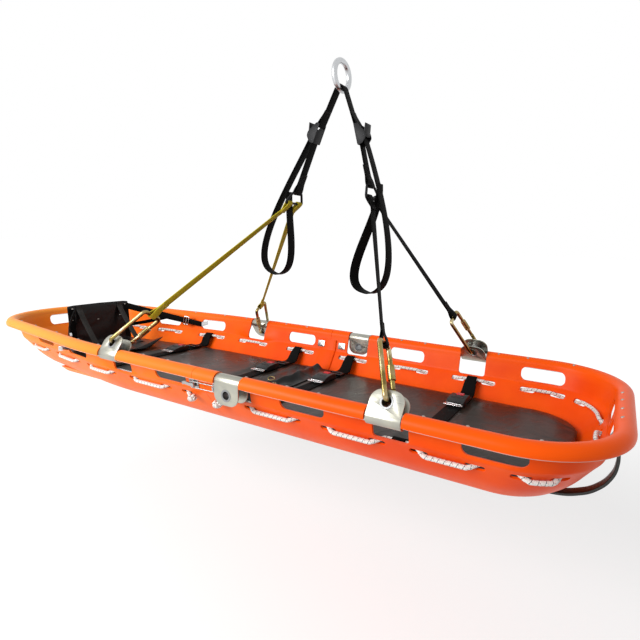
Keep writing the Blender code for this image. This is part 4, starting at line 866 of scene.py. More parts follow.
# Lifting brackets: a zinc-plated steel plate folded round the rim tube, free to swing, with a steel bush
# pressed through both leaves. Four hold the bridle; the two at the centre hang down unused.
PLATE_T, BRACKET_GAP = 0.0030, 0.0007
BRACKET_WIDTH, BRACKET_REACH, BRACKET_BLANK, BRACKET_CORNER_R = 0.072, 0.050, 0.080, 0.024
EYE_REACH, EYE_R, EYE_PLAY, BUSH_R, COLLAR_R, COLLAR_T = 0.027, 0.0095, 0.0006, 0.0120, 0.0142, 0.0007
COLLAR_BREAK, PLATE_LANE = 0.0006, (-0.03, 0.03)
LEG_SIDE = 0.0208
LINK_FOOT, LINK_HEAD = Vector((0.048, 0.0, 0.418)), Vector((0.292, 0.0, 0.430))


def brushed_zinc():
    """Zinc-plated sheet with a yellowish passivated film: drawn grain along the fold, soft broad glints."""
    mat, tree = finish("passivated_zinc_plate", "#A9A79D", 1.0, 0.32)
    place = add(tree, "TexCoord", {}, "Object")
    drawn = add(tree, "Mapping", {"Vector": place, "Scale": (12.0, 400.0, 400.0)})
    grain = add(tree, "TexNoise", {"Scale": 2.0, "Detail": 4.0, "Vector": drawn})
    film = add(tree, "TexNoise", {"Scale": 26.0, "Detail": 2.0, "Vector": place})
    tone = add(tree, "Mix", {"data_type": "RGBA", 0: film, 6: linear("#C2BEAC"), 7: linear("#8C8F8D")})
    dull = add(tree, "MapRange", {"Value": grain, "From Min": 0.3, "From Max": 0.7, "To Min": 0.26,
                                  "To Max": 0.44})
    relief = add(tree, "Bump", {"Strength": 0.10, "Distance": 0.0003, "Height": grain})
    return feed(mat, Base_Color=tone, Roughness=dull, Normal=relief)


def lathe(place, profile, sides=36):
    """A turned body round w from a list of (distance along w, radius)."""
    turn = [2 * math.pi * i / sides for i in range(sides)]
    return stitch([[place.at(r * math.cos(a), r * math.sin(a), w) for a in turn] for w, r in profile])


def hollow_lathe(place, profile, sides=36):
    """A turned ring: the profile runs once round its section."""
    loops = [[place.at(r * math.cos(a), r * math.sin(a), w) for w, r in profile]
             for a in (2 * math.pi * i / sides for i in range(sides))]
    return stitch(loops + [loops[0]], caps=False)


def chamfer(obj, width, segments=2, angle=50):
    """Breaks the sharp edges of a piece."""
    mod = obj.modifiers.new("edge", "BEVEL")
    mod.width = width
    mod.segments = segments
    mod.limit_method = "ANGLE"
    mod.angle_limit = math.radians(angle)
    mod.harden_normals = False
    return settle(obj)


zinc = brushed_zinc()
bush_steel = bare_metal("turned_steel_bush", "#8E8F90", 0.34, 220.0)


def bracket(name, node, x, side, lean, body="basket"):
    """One bracket round the rim, leaning inward by lean; returns its frame, with u away from the tube."""
    up = Vector((0.0, -side * math.sin(lean), math.cos(lean)))
    place = Place(Vector((x, side * HALF_WIDTH, 0.0)), up, (1, 0, 0))
    inner, outer, half = TUBE_R + BRACKET_GAP, TUBE_R + BRACKET_GAP + PLATE_T, BRACKET_WIDTH / 2
    bend = [math.pi * i / 20 for i in range(21)]
    outline = [(BRACKET_REACH, inner)] + [(-inner * math.sin(a), inner * math.cos(a)) for a in bend]
    outline += [(BRACKET_REACH, -inner), (BRACKET_REACH, -outer)]
    outline += [(-outer * math.sin(a), outer * math.cos(a)) for a in reversed(bend)] + [(BRACKET_REACH, outer)]
    plate = piece(name, *prism(place, outline, (-half, half)), zinc, body)
    blank = [(u - BRACKET_BLANK + BRACKET_REACH, v)
             for u, v in rounded(2 * BRACKET_BLANK, BRACKET_WIDTH, BRACKET_CORNER_R, 12)]
    cut(plate, [prism(Place(place.o, up, place.v), blank, PLATE_LANE)], "INTERSECT")
    eye = Place(place.at(EYE_REACH), (1, 0, 0), place.v)
    cut(plate, [drum(eye, BUSH_R - 0.0004, PLATE_LANE, 40)])
    chamfer(plate, 0.0005)
    face = outer + COLLAR_T
    ring = [(-face, EYE_R + COLLAR_BREAK), (-face, COLLAR_R - 0.0004), (-outer, COLLAR_R), (-outer, BUSH_R),
            (outer, BUSH_R), (outer, COLLAR_R), (face, COLLAR_R - 0.0004), (face, EYE_R + COLLAR_BREAK),
            (face - COLLAR_BREAK, EYE_R), (-face + COLLAR_BREAK, EYE_R)]
    bush = piece(name + "_bush", *hollow_lathe(eye, ring), bush_steel, body)
    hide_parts(node)
    return place


# Carabiners: bent yellow-zinc steel bar with a hinged gate and a screw sleeve, one in each bracket's bush.
# The bar is round, and its colour shifts from straw to faint pink.
WIRE_R = 0.0052
CARABINER_WIDTH, CARABINER_LENGTH, CARABINER_CORNER = 0.052, 0.122, 0.009
GATE_SPAN, GATE_GAP = (0.030, 0.094), 0.0004
SLEEVE_R, SLEEVE_SPAN, SLEEVE_GROOVE, SLEEVE_GROOVES = 0.0080, (0.052, 0.084), 0.0006, 9


def yellow_zinc():
    """Yellow-chromated zinc on steel: bright straw gold with iridescent olive and rose clouds."""
    mat, tree = finish("yellow_chromated_steel", "#9A8A5A", 1.0, 0.24)
    place = add(tree, "TexCoord", {}, "Object")
    cloud = add(tree, "TexNoise", {"Scale": 34.0, "Detail": 3.0, "Vector": place})
    tones = add(tree, "ValToRGB", {"Fac": cloud})
    ramp = tones.node.color_ramp
    ramp.elements[0].position, ramp.elements[0].color = 0.36, linear("#75663A")
    ramp.elements[1].position, ramp.elements[1].color = 0.66, linear("#BFB48E")
    for stop, tint in ((0.46, "#94854F"), (0.56, "#A08A62")):
        ramp.elements.new(stop).color = linear(tint)
    fine = add(tree, "TexNoise", {"Scale": 300.0, "Detail": 2.0, "Vector": place})
    dull = add(tree, "MapRange", {"Value": fine, "To Min": 0.18, "To Max": 0.32})
    return feed(mat, Base_Color=tones, Roughness=dull)


gold = yellow_zinc()


def carabiner(where, hold, below, goal, tilt):
    """A carabiner in a bracket's eye, drawn toward goal; tilt scales its slant along the rim."""
    seat = hold.at(EYE_REACH + (EYE_R - WIRE_R - EYE_PLAY) * (-1 if below else 1))
    pull = goal - seat
    pull = pull - hold.v * pull.dot(hold.v)
    pull.x *= tilt
    place = Place(seat, pull, hold.v)
    bar = CARABINER_WIDTH / 2
    g0, g1 = GATE_SPAN

    def turn_from_gate(corner):
        return (math.atan2(corner[1], corner[0] - (g0 + g1) / 2) + math.pi / 2) % (2 * math.pi)

    bends = rounded(CARABINER_LENGTH, CARABINER_WIDTH, CARABINER_CORNER, 10)
    bends = sorted(((u + CARABINER_LENGTH / 2, w) for u, w in bends), key=turn_from_gate)
    route = spaced([tuple(place.at(u, 0.0, w)) for u, w in [(g1, -bar)] + bends + [(g0, -bar)]], 0.006)
    hook = tube_along(f"carabiner_{where}_bar", [Vector(p) for p in route], WIRE_R, gold, sides=24)
    core = Place(place.at(0.0, 0.0, -bar), place.w, place.u)
    slim = WIRE_R * 0.94
    s0, s1 = SLEEVE_SPAN
    valley = SLEEVE_R - SLEEVE_GROOVE
    profile = [(g0 + 0.0007, slim / 2), (g0 + 0.0035, slim), (s0 - 0.0015, slim), (s0 - 0.0012, slim + 0.0006),
               (s0, valley)]
    for k in range(SLEEVE_GROOVES):
        u = s0 + (s1 - s0) * (k + 0.5) / SLEEVE_GROOVES
        profile += [(u - 0.0012, SLEEVE_R), (u + 0.0006, SLEEVE_R), (u + 0.0009, valley), (u + 0.0014, valley)]
    profile += [(s1, valley), (s1 + 0.0010, slim), (g1 - 0.0012, slim), (g1 - GATE_GAP, slim - 0.0008)]
    gate = piece(f"carabiner_{where}_gate_sleeve", *lathe(core, profile, 28), gold, "gate_" + where, sharp=35)
    pin = place.through(g0 - 0.0022, 0.0, -bar)
    rivet = [(-WIRE_R - 0.0006, 0.0008), (-WIRE_R - 0.0004, 0.0018), (WIRE_R + 0.0004, 0.0018),
             (WIRE_R + 0.0006, 0.0008)]
    stud = piece(f"carabiner_{where}_hinge_rivet", *lathe(pin, rivet, 16), gold)
    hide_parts(f"carabiner_{where}")
    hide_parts(f"carabiner_{where}_gate")
    return place


clips = {}
for end in ("foot", "head"):
    link_at = LINK_FOOT if end == "foot" else LINK_HEAD
    for side_name, side in SIDES.items():
        hanging = end == "foot" and side_name == "far"
        goal = link_at + Vector((0.0, side * LEG_SIDE, 0.0))
        lean = math.atan2(HALF_WIDTH - side * goal.y, goal.z) + (math.pi if hanging else 0.0)
        where = f"{end}_{side_name}"
        hold = bracket(f"bracket_{where}_plate", f"bracket_{where}", BRACKET_X[end], side, lean)
        clips[where] = carabiner(where, hold, hanging, goal, 0.45 if hanging else 1.0)
for side_name, side in SIDES.items():
    name = f"bracket_centre_{side_name}"
    bracket(name + "_plate", name, BRACKET_X["centre"], side, math.pi, f"centre_bracket_{side_name}")

# Flap hooks: two small rings of yellow-chromated wire lie tilted on the joint flap toward the near side,
# and hold it down.
FLAP_HOOKS, FLAP_HOOK_LIFT = ((0.02, -0.20, 0.4), (0.40, -0.27, -0.5)), 0.0060
HOOK_SIZE, HOOK_WIRE_R, HOOK_TILT = (0.0095, 0.0065), 0.0014, (0.80, 0.60)

for k, (u, t, lean) in enumerate(FLAP_HOOKS, 1):
    seat = flap_top(u, t) + Vector((0.0, 0.0, FLAP_HOOK_LIFT))
    along = Vector((math.cos(lean), math.sin(lean), 0.0)) * HOOK_SIZE[0]
    up = Vector((-math.sin(lean) * HOOK_TILT[0], math.cos(lean) * HOOK_TILT[0], HOOK_TILT[1])) * HOOK_SIZE[1]
    turns = (2 * math.pi * i / 28 for i in range(28))
    ring = tube_along(f"flap_hook_{k}", [seat + along * math.cos(a) + up * math.sin(a) for a in turns],
                      HOOK_WIRE_R, gold, sides=12, closed=True)

# Bridle legs: flat polyester webbing, olive-yellow to the foot brackets and black to the head brackets.
# Each is sewn back on itself round its carabiner and round the delta link above.
STRAP_T, LAP_GAP, EYE_CLEAR = 0.0024, 0.0004, 0.0007
LEG_WIDTH, EYE_LAP, LINK_LAP = 0.018, 0.050, 0.034
EYE_MOUTH, EYE_THROAT, EYE_BULGE = 0.028, 0.012, 0.75
LINK_BAR_R = 0.0032
THREAD, STITCH_PITCH, SEAM_MARGIN = 0.0008, 0.0040, 0.003
WEAVE_PITCH, WEAVE_LANE = 0.0036, 0.0060


def woven_polyester(name, colour, dark, sheen):
    """Polyester webbing: herringbone weave with a satin lustre; real threads are 1.2 mm apart and are
    drawn three times as coarse, so that they show."""
    mat, tree = finish(name, colour, 0.0, 0.62, IOR=1.54, Specular_IOR_Level=0.05, Sheen_Weight=sheen,
                       Sheen_Roughness=0.4)
    place = add(tree, "UVMap", {"uv_map": "run"})
    along, across = (add(tree, "SeparateXYZ", {"Vector": place}, axis) for axis in "XY")
    lane = add(tree, "Math", {"operation": "PINGPONG", 0: across, 1: WEAVE_LANE / 2})
    slant = add(tree, "Math", {"operation": "ADD", 0: along, 1: lane})
    turn = add(tree, "Math", {"operation": "MULTIPLY", 0: slant, 1: 2 * math.pi / WEAVE_PITCH})
    rib = add(tree, "Math", {"operation": "SINE", 0: turn})
    lift = add(tree, "MapRange", {"Value": rib, "From Min": -1.0})
    fuzz = add(tree, "TexNoise", {"Scale": 70.0, "Detail": 4.0, "Roughness": 0.7})
    mixed = add(tree, "Math", {"operation": "MULTIPLY", 0: lift, 1: fuzz})
    shade = add(tree, "MapRange", {"Value": mixed, "From Min": 0.05, "From Max": 0.55})
    tone = add(tree, "Mix", {"data_type": "RGBA", 0: shade, 6: linear(dark), 7: linear(colour)})
    relief = add(tree, "Bump", {"Strength": 0.5, "Distance": 0.0006, "Height": lift})
    return feed(mat, Base_Color=tone, Normal=relief)


def webbing(name, points, across, widths, thick, mat, body="basket", step=0.004):
    """Flat webbing with round selvedges through points; its UV layer holds the run and the width in metres."""
    widths = widths if isinstance(widths, list) else [widths] * len(points)
    fine, sides, spans = [], [], []
    for i in range(len(points) - 1):
        p0, p1, p2, p3 = points[max(i - 1, 0)], points[i], points[i + 1], points[min(i + 2, len(points) - 1)]
        count = max(1, round((p2 - p1).length / step))
        m1 = (p2 - p0) / max(1e-6, (p2 - p1).length + (p1 - p0).length) * (p2 - p1).length
        m2 = (p3 - p1) / max(1e-6, (p3 - p2).length + (p2 - p1).length) * (p2 - p1).length
        for k in range(count):
            t = k / count
            fine.append(p1 * (2 * t ** 3 - 3 * t * t + 1) + m1 * (t ** 3 - 2 * t * t + t)
                        + p2 * (3 * t * t - 2 * t ** 3) + m2 * (t ** 3 - t * t))
            sides.append(across[i].lerp(across[i + 1], t))
            spans.append(widths[i] * (1 - t) + widths[i + 1] * t)
    fine.append(points[-1])
    sides.append(across[-1])
    spans.append(widths[-1])
    q = thick / 2
    loops, marks, gone = [], [], 0.0
    for i, p in enumerate(fine):
        run = run_at(fine, i)
        gone += (p - fine[i - 1]).length if i else 0.0
        side = (sides[i] - run * sides[i].dot(run)).normalized()
        up = side.cross(run)
        h = spans[i] / 2
        section = [(h, 0.0), (h - q * 0.3, q * 0.75), (h - q, q), (0.0, q), (-h + q, q),
                   (-h + q * 0.3, q * 0.75), (-h, 0.0), (-h + q * 0.3, -q * 0.75), (-h + q, -q),
                   (0.0, -q), (h - q, -q), (h - q * 0.3, -q * 0.75)]
        loops.append([p + side * w + up * v for w, v in section])
        marks.append([(gone, w) for w, _ in section])
    obj = piece(name, *stitch(loops), mat, body, sharp=75)
    layer = obj.data.uv_layers.new(name="run")
    flat_marks = [m for row in marks for m in row]
    for loop in obj.data.loops:
        layer.data[loop.index].uv = flat_marks[loop.vertex_index]
    return obj


def eye_points(centre, away, across, bar_r, lap, hand):
    """Half-open eye round a bar: from the lap's end, round the bar and out along the strap."""
    place = Place(centre, away, across)
    wrap = bar_r + EYE_CLEAR + STRAP_T / 2
    near = (STRAP_T + LAP_GAP) / 2 * hand
    throat = wrap * EYE_BULGE * hand
    marks = [(lap, -near), (EYE_MOUTH, -near), (EYE_THROAT, -throat)]
    marks += [(wrap * math.cos(a), -wrap * math.sin(a) * hand)
              for a in (math.pi / 2 + math.pi * i / 10 for i in range(11))]
    marks += [(EYE_THROAT, throat), (EYE_MOUTH, near)]
    return [place.at(u, v) for u, v in marks], place


def sewn(place, lines, rise):
    """Lockstitches along lines of (u, w) marks, standing on a face at v = rise."""
    bodies = []
    out = place.v * math.copysign(1.0, rise)
    for line in lines:
        for (u0, w0), (u1, w1) in zip(line, line[1:]):
            count = max(1, int(math.hypot(u1 - u0, w1 - w0) / STITCH_PITCH))
            for k in range(count):
                a, b = (k + 0.14) / count, (k + 0.86) / count
                start = place.at(u0 + (u1 - u0) * a, rise, w0 + (w1 - w0) * a)
                stop = place.at(u0 + (u1 - u0) * b, rise, w0 + (w1 - w0) * b)
                side = (stop - start).cross(out).normalized() * THREAD / 2
                ridge = out * THREAD * 0.55
                inset = (stop - start) * 0.18
                verts = [start + side, stop + side, stop - side, start - side, start + inset + ridge,
                         stop - inset + ridge]
                bodies.append((verts, [(3, 2, 1, 0), (0, 1, 5, 4), (2, 3, 4, 5), (0, 4, 3), (1, 2, 5)]))
    return bodies


def box_cross(u0, u1, half):
    """The marks of a sewn box with a cross in it."""
    ring = [(u0, -half), (u1, -half), (u1, half), (u0, half), (u0, -half)]
    return [ring, [(u0, -half), (u1, half)], [(u0, half), (u1, -half)]]


olive = woven_polyester("woven_polyester_olive", "#DCCB34", "#A39428", 0.08)
black_weave = woven_polyester("woven_polyester_black", "#0F0E0D", "#050505", 0.0)


def sewing_thread(name, colour, dark):
    """Bonded polyester thread: short light and dark flecks where its plies turn."""
    mat, tree = finish(name, colour, 0.0, 0.58, IOR=1.54)
    place = add(tree, "TexCoord", {}, "Object")
    ply = add(tree, "TexNoise", {"Scale": 700.0, "Detail": 2.0, "Vector": place})
    tone = add(tree, "Mix", {"data_type": "RGBA", 0: ply, 6: linear(dark), 7: linear(colour)})
    return feed(mat, Base_Color=tone)


olive_thread = sewing_thread("polyester_thread_olive", "#D6C460", "#8E7F2C")
black_thread = sewing_thread("polyester_thread_black", "#2B2928", "#141312")


def leg(where, clip, link_at):
    """One leg with an eye at each end, sewn with a crossed box on both faces."""
    top_wire = clip.at(CARABINER_LENGTH)
    away = link_at - top_wire
    low, low_place = eye_points(top_wire, away, clip.w, WIRE_R, EYE_LAP, 1)
    high, high_place = eye_points(link_at, Vector((-away.x, 0.0, -away.z)), (0, 1, 0), LINK_BAR_R, LINK_LAP, 1)
    high.reverse()
    turned = -high_place.w if low_place.w.dot(high_place.w) < 0 else high_place.w
    points, across = list(low), [low_place.w] * len(low)
    for i in range(1, 16):
        t = i / 16
        points.append(low[-1].lerp(high[0], t))
        across.append(low_place.w.lerp(turned, ease(t)))
    points += high
    across += [turned] * len(high)
    yellow = where.startswith("foot")
    strap = webbing(f"leg_{where}_webbing", points, across, LEG_WIDTH, STRAP_T,
                    olive if yellow else black_weave)
    rise = STRAP_T + LAP_GAP / 2
    bodies = []
    for place, lap in ((low_place, EYE_LAP), (high_place, LINK_LAP)):
        for face in (-rise, rise):
            start = EYE_MOUTH - 0.004 if lap == LINK_LAP else EYE_MOUTH
            bodies += sewn(place, box_cross(start, lap - 0.002, LEG_WIDTH / 2 - SEAM_MARGIN), face)
    seam = piece(f"leg_{where}_stitching", *gather(bodies), olive_thread if yellow else black_thread, sharp=30)
    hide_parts(f"leg_{where}")


for where, clip in clips.items():
    end, side_name = where.split("_")
    link_at = LINK_FOOT if end == "foot" else LINK_HEAD
    leg(where, clip, link_at + Vector((0.0, SIDES[side_name] * LEG_SIDE, 0.0)))

# Bridle top: a welded steel ring over the strap loop, a cam buckle on each side, and a delta link below each.
# The straps run up from the links, turn over the cam rollers and hang down again in long loops.
RING_X, RING_SEAT_Z, RING_R, RING_WIRE_R = 0.193, 0.700, 0.034, 0.007
LINK_TOP, LINK_BASE, LINK_RISE, LINK_BEND = 0.036, 0.071, 0.030, 0.009
BUCKLE_FOOT, BUCKLE_HEAD = Vector((0.124, 0.0, 0.594)), Vector((0.251, 0.0, 0.582))
ROLLER_R, ROLLER_U, BUCKLE_HALF, CHEEK_T = 0.0040, -0.002, 0.0160, 0.0016
CHEEK = ((-0.026, -0.0055), (0.026, -0.0055), (0.026, 0.008), (0.014, 0.021), (0.002, 0.021), (-0.026, 0.004))
BASE_PLATE = ((-0.010, 0.0255), (-0.0052, -0.0036))
TOP_BAR, TOP_BAR_R = (-0.021, -0.0005), 0.0026
LEVER_HINGE = (0.008, 0.0165)
LEVER = ((0.0105, 0.0146), (0.0120, 0.0178), (0.008, 0.0205), (0.000, 0.0215), (-0.018, 0.0275),
         (-0.0185, 0.0255), (-0.002, 0.0185), (0.0045, 0.0145), (0.008, 0.0137))
MAIN_WIDTH = 0.0262
TAIL_LAP, TAIL_MOUTH, TAIL_THROAT, TAIL_ENTRY, TAIL_EXIT = 0.052, 0.026, (0.010, 0.011), 0.030, 0.010
TAIL_DROP, TAIL_SPREAD, TAIL_ROUND, TAIL_END = 0.10, (0.010, 0.004), (0.02, 0.01), (0.0275, 0.004)
MASTER_LAP, MASTER_CLEAR = 0.040, 0.0032


def blackened_steel():
    """Black-phosphated steel: near black with an oily grey sheen and bare glints where it rubs."""
    mat, tree = finish("black_phosphated_steel", "#101012", 0.30, 0.46, Specular_IOR_Level=0.25)
    place = add(tree, "TexCoord", {}, "Object")
    rub = add(tree, "TexNoise", {"Scale": 120.0, "Detail": 5.0, "Roughness": 0.7, "Vector": place})
    bare = add(tree, "MapRange", {"Value": rub, "From Min": 0.58, "From Max": 0.72})
    tone = add(tree, "Mix", {"data_type": "RGBA", 0: bare, 6: linear("#0F0F11"), 7: linear("#3C3D40")})
    dull = add(tree, "MapRange", {"Value": rub, "To Min": 0.34, "To Max": 0.56})
    return feed(mat, Base_Color=tone, Roughness=dull)


black_steel = blackened_steel()
ring_low = Vector((RING_X, 0.0, RING_SEAT_Z - RING_WIRE_R))
ring_centre = Vector((RING_X, 0.0, RING_SEAT_Z + RING_R - RING_WIRE_R))
turns = [2 * math.pi * i / 72 for i in range(72)]
ring = tube_along("master_ring_bar", [ring_centre + Vector((0.0, math.sin(a), -math.cos(a))) * RING_R
                                      for a in turns], RING_WIRE_R, bright_tube, sides=24, closed=True)
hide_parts("master_ring")


def delta_link(end, base, top):
    """A bent bar link: wide below for two legs, narrow above for the main strap."""
    place = Place(base, top - base, (0, 1, 0))
    rise = (top - base).length
    corners = [(0.0, 0.0), (0.0, LINK_BASE / 2), (rise, LINK_TOP / 2), (rise, -LINK_TOP / 2),
               (0.0, -LINK_BASE / 2), (0.0, 0.0)]
    route = [corners[0]]
    for a, b, c in zip(corners, corners[1:], corners[2:]):
        a, b, c = Vector(a), Vector(b), Vector(c)
        reach = min(LINK_BEND, (b - a).length * 0.45, (c - b).length * 0.45) * 0.6
        start, stop = b + (a - b).normalized() * reach, b + (c - b).normalized() * reach
        route += [tuple(p) for p in bow(start, b, stop, 5)]
    bar = tube_along(end + "_delta_link", [place.at(u, 0.0, w) for u, w in spaced(route, 0.01)], LINK_BAR_R,
                     black_steel, sides=18, closed=True)
    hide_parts(end + "_link")


def cam_buckle(end, centre, link_top, hand):
    """Two cheeks with a base plate, a roller and a top bar between them, and the cam lever."""
    place = Place(centre, link_top - centre, (0, hand, 0))
    shape = soften(CHEEK + CHEEK[:2], 0.35, 5)[1:-1]
    bodies = []
    for side in (-1, 1):
        ws = sorted((side * (BUCKLE_HALF - CHEEK_T), side * BUCKLE_HALF))
        bodies.append(prism(place, shape, ws))
        stud = place.moved(*LEVER_HINGE)
        bodies.append(lathe(stud, [(side * (BUCKLE_HALF - 0.0004), 0.0032),
                                   (side * (BUCKLE_HALF + 0.0002), 0.0030),
                                   (side * (BUCKLE_HALF + 0.0003), 0.0012)], 20))
    (u0, u1), (v0, v1) = BASE_PLATE
    bodies.append(prism(place, [(u0, v0), (u1, v0), (u1, v1), (u0, v1)],
                        (-BUCKLE_HALF + 0.0004, BUCKLE_HALF - 0.0004)))
    axle = place.moved(ROLLER_U, ROLLER_R + EYE_CLEAR + STRAP_T / 2)
    bodies.append(drum(axle, ROLLER_R, (-BUCKLE_HALF + 0.0005, BUCKLE_HALF - 0.0005), 28))
    bodies.append(drum(place.moved(*TOP_BAR), TOP_BAR_R, (-BUCKLE_HALF + 0.0005, BUCKLE_HALF - 0.0005), 20))
    case = piece(end + "_cam_frame", *gather(bodies), black_steel, sharp=35)
    chamfer(case, 0.0003)
    inside = BUCKLE_HALF - CHEEK_T - 0.0005
    ribbed = spaced(LEVER + LEVER[:1], 0.004)[:-1]
    lever = piece(end + "_cam_lever", *prism(place, ribbed, (-inside, inside)), black_steel, "cam_lever_" + end,
                  sharp=30)
    chamfer(lever, 0.0004)
    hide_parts(end + "_cam_buckle_frame")
    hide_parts(end + "_cam_buckle_lever")
    return place


def curve(a, b, c, d, steps):
    """Points of a curve from a to d that is drawn toward b and c; a is left out."""
    return [a * (1 - t) ** 3 + b * 3 * (1 - t) ** 2 * t + c * 3 * (1 - t) * t * t + d * t ** 3
            for t in (i / steps for i in range(1, steps + 1))]


def main_strap(end, place, link_top, low, bulges, twist, hand):
    """Sewn round the link, up to the roller, round it and down in a hanging loop back to the link."""
    wrap = LINK_BAR_R + EYE_CLEAR + STRAP_T / 2
    reach = (link_top - place.o).length
    near = (STRAP_T + LAP_GAP) / 2
    marks = [(reach - TAIL_LAP, -near * 2), (reach - TAIL_MOUTH, -near * 2), (reach - TAIL_THROAT[0], -wrap)]
    marks += [(reach - wrap * math.cos(a), -wrap * math.sin(a))
              for a in (math.pi / 2 + math.pi * i / 10 for i in range(11))]
    marks += [(reach - TAIL_THROAT[1], wrap * 0.7), (reach - TAIL_MOUTH, 0.0), (TAIL_ENTRY, 0.0),
              (ROLLER_U, 0.0)]
    turn_r = ROLLER_R + EYE_CLEAR + STRAP_T / 2
    marks += [(ROLLER_U + turn_r * math.cos(a), turn_r + turn_r * math.sin(a))
              for a in (-math.pi / 2 - math.pi * i / 10 for i in range(1, 11))]
    marks.append((TAIL_EXIT, 2 * turn_r))
    points = [place.at(u, v) for u, v in marks]
    side, up = Vector((-hand, 0.0, 0.0)), Vector((0.0, 0.0, 1.0))
    finish_at = link_top + Vector((-hand * TAIL_END[0], 0.0, TAIL_END[1]))
    leave, arrive = TAIL_SPREAD
    out_bulge, back_bulge = bulges
    fixed = len(points)
    first = points[-1] + place.u * TAIL_DROP * 0.9 + side * leave
    points += curve(points[-1], first, low + side * out_bulge + up * TAIL_ROUND[0], low, 24)
    points += curve(low, low - side * back_bulge + up * TAIL_ROUND[1],
                    finish_at + side * arrive - up * TAIL_DROP, finish_at, 20)
    loose = len(points) - fixed
    turns = [0.0] * fixed + [twist * math.sin(math.pi * ((i + 1) / loose) ** 2.4) for i in range(loose)]
    across = [Vector((math.sin(turn), math.cos(turn), 0.0)) for turn in turns]
    strap = webbing(end + "_strap_webbing", points, across, MAIN_WIDTH, STRAP_T, black_weave)
    rows = Place(place.at(reach), -place.u, place.w)
    bodies = []
    for face in (-STRAP_T / 2, near * 2 + STRAP_T / 2):
        bodies += sewn(rows, box_cross(TAIL_MOUTH + 0.002, TAIL_LAP - 0.003, MAIN_WIDTH / 2 - SEAM_MARGIN),
                       face)
    seam = piece(end + "_strap_stitching", *gather(bodies), black_thread, sharp=30)
    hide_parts(end + "_main_strap")


RIGGING = {"foot": (LINK_FOOT, BUCKLE_FOOT, 1, Vector((-0.006, 0.0, 0.222)), (0.145, 0.078), 0.10),
           "head": (LINK_HEAD, BUCKLE_HEAD, -1, Vector((0.293, 0.0, 0.192)), (0.110, 0.120), 0.60)}
cams = {}
for end, (base, top, hand, low, bulges, twist) in RIGGING.items():
    rise = base + (top - base).normalized() * LINK_RISE
    delta_link(end, base, rise)
    cams[end] = cam_buckle(end, top, rise, hand)
    main_strap(end, cams[end], rise, low, bulges, twist, hand)

over = RING_WIRE_R + MASTER_CLEAR + STRAP_T / 2
loops, places = [], []
for place, hand in ((cams["foot"], 1), (cams["head"], -1)):
    found, eye_place = eye_points(place.at(*TOP_BAR), ring_low - place.o, (0, 1, 0), TOP_BAR_R, MASTER_LAP,
                                  hand)
    loops.append(found)
    places.append(eye_place)
a0 = math.atan2((cams["foot"].o - ring_low).z, (cams["foot"].o - ring_low).x) - math.pi / 2 + 2 * math.pi
a1 = math.atan2((cams["head"].o - ring_low).z, (cams["head"].o - ring_low).x) + math.pi / 2
crown = [ring_low + Vector((math.cos(a), 0.0, math.sin(a))) * over
         for a in (a0 + (a1 - a0) * i / 14 for i in range(15))]
points = loops[0] + crown + list(reversed(loops[1]))
top_loop = webbing("master_loop_webbing", points, [Vector((0, 1, 0))] * len(points), MAIN_WIDTH, STRAP_T,
                   black_weave)
bodies = []
for place in places:
    for face in (-(STRAP_T + LAP_GAP / 2), STRAP_T + LAP_GAP / 2):
        bodies += sewn(place, box_cross(EYE_MOUTH - 0.006, MASTER_LAP - 0.002, MAIN_WIDTH / 2 - SEAM_MARGIN),
                       face)
top_seam = piece("master_loop_stitching", *gather(bodies), black_thread, sharp=30)
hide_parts("master_strap")

# Patient belts: wide black seat-belt webbing across the mattress, looped round the grab rope at each side.
# Each has a pressed steel tongue in a black push-button buckle with a red button.
BUCKLE_INSET = (0.210, 0.210, 0.205, 0.170)
LAP_INSET = 0.150
BELT_WIDTH, BELT_EYE_WIDTH, BELT_T = 0.040, 0.028, 0.0020
BELT_SWEEP, BELT_NECK = (-115, 255), (0.016, -0.006, 0.034)
BELT_LANDINGS = ((0.087, 0.003), (0.115, 0.0), (0.160, 0.0), (0.235, 0.0))
BELT_EYE_CLEAR, BELT_REST, BUCKLE_REST = 0.0010, 0.0006, 0.0005
BELT_BUCKLE = (0.046, 0.062, 0.017)
GLIDE_BAR, GLIDE_CHEEK = (0.0060, 0.0030, 0.0012), (0.0250, 0.0046, 0.0016)
GLIDE_HALF, GLIDE_REACH = (0.010, 0.0222), (-0.0235, 0.0235)
TONGUE_T, TONGUE_RISE, TONGUE_SLOT = 0.0022, 0.30, (0.0110, 0.0052)
GRIP_RIBS = (-0.0135, -0.0095, -0.0055)
BUTTON, BUTTON_GAP, BUTTON_MARGIN = (0.020, 0.015, 0.0085), 0.0004, 0.006
BUTTON_PROUD, BUTTON_TRAVEL = 0.0012, 0.003


def moulded_plastic(name, colour, rough, grit):
    """Injection-moulded plastic: an even colour, an eggshell sheen and a fine spark-eroded texture."""
    mat, tree = finish(name, colour, 0.0, rough, IOR=1.50, Specular_IOR_Level=0.32)
    place = add(tree, "TexCoord", {}, "Object")
    spark = add(tree, "TexNoise", {"Scale": 1400.0 if grit else 400.0, "Detail": 1.0, "Vector": place})
    relief = add(tree, "Bump", {"Strength": 0.18, "Distance": 0.0002, "Height": spark})
    rub = add(tree, "TexNoise", {"Scale": 60.0, "Detail": 3.0, "Vector": place})
    dull = add(tree, "MapRange", {"Value": rub, "To Min": rough - 0.07, "To Max": rough + 0.10})
    return feed(mat, Normal=relief, Roughness=dull)


black_abs = moulded_plastic("moulded_black_abs", "#101011", 0.36, True)
red_abs = moulded_plastic("moulded_red_abs", "#C4202C", 0.32, False)
nickel = bare_metal("nickel_plated_tongue", "#CFCFD0", 0.18, 260.0)


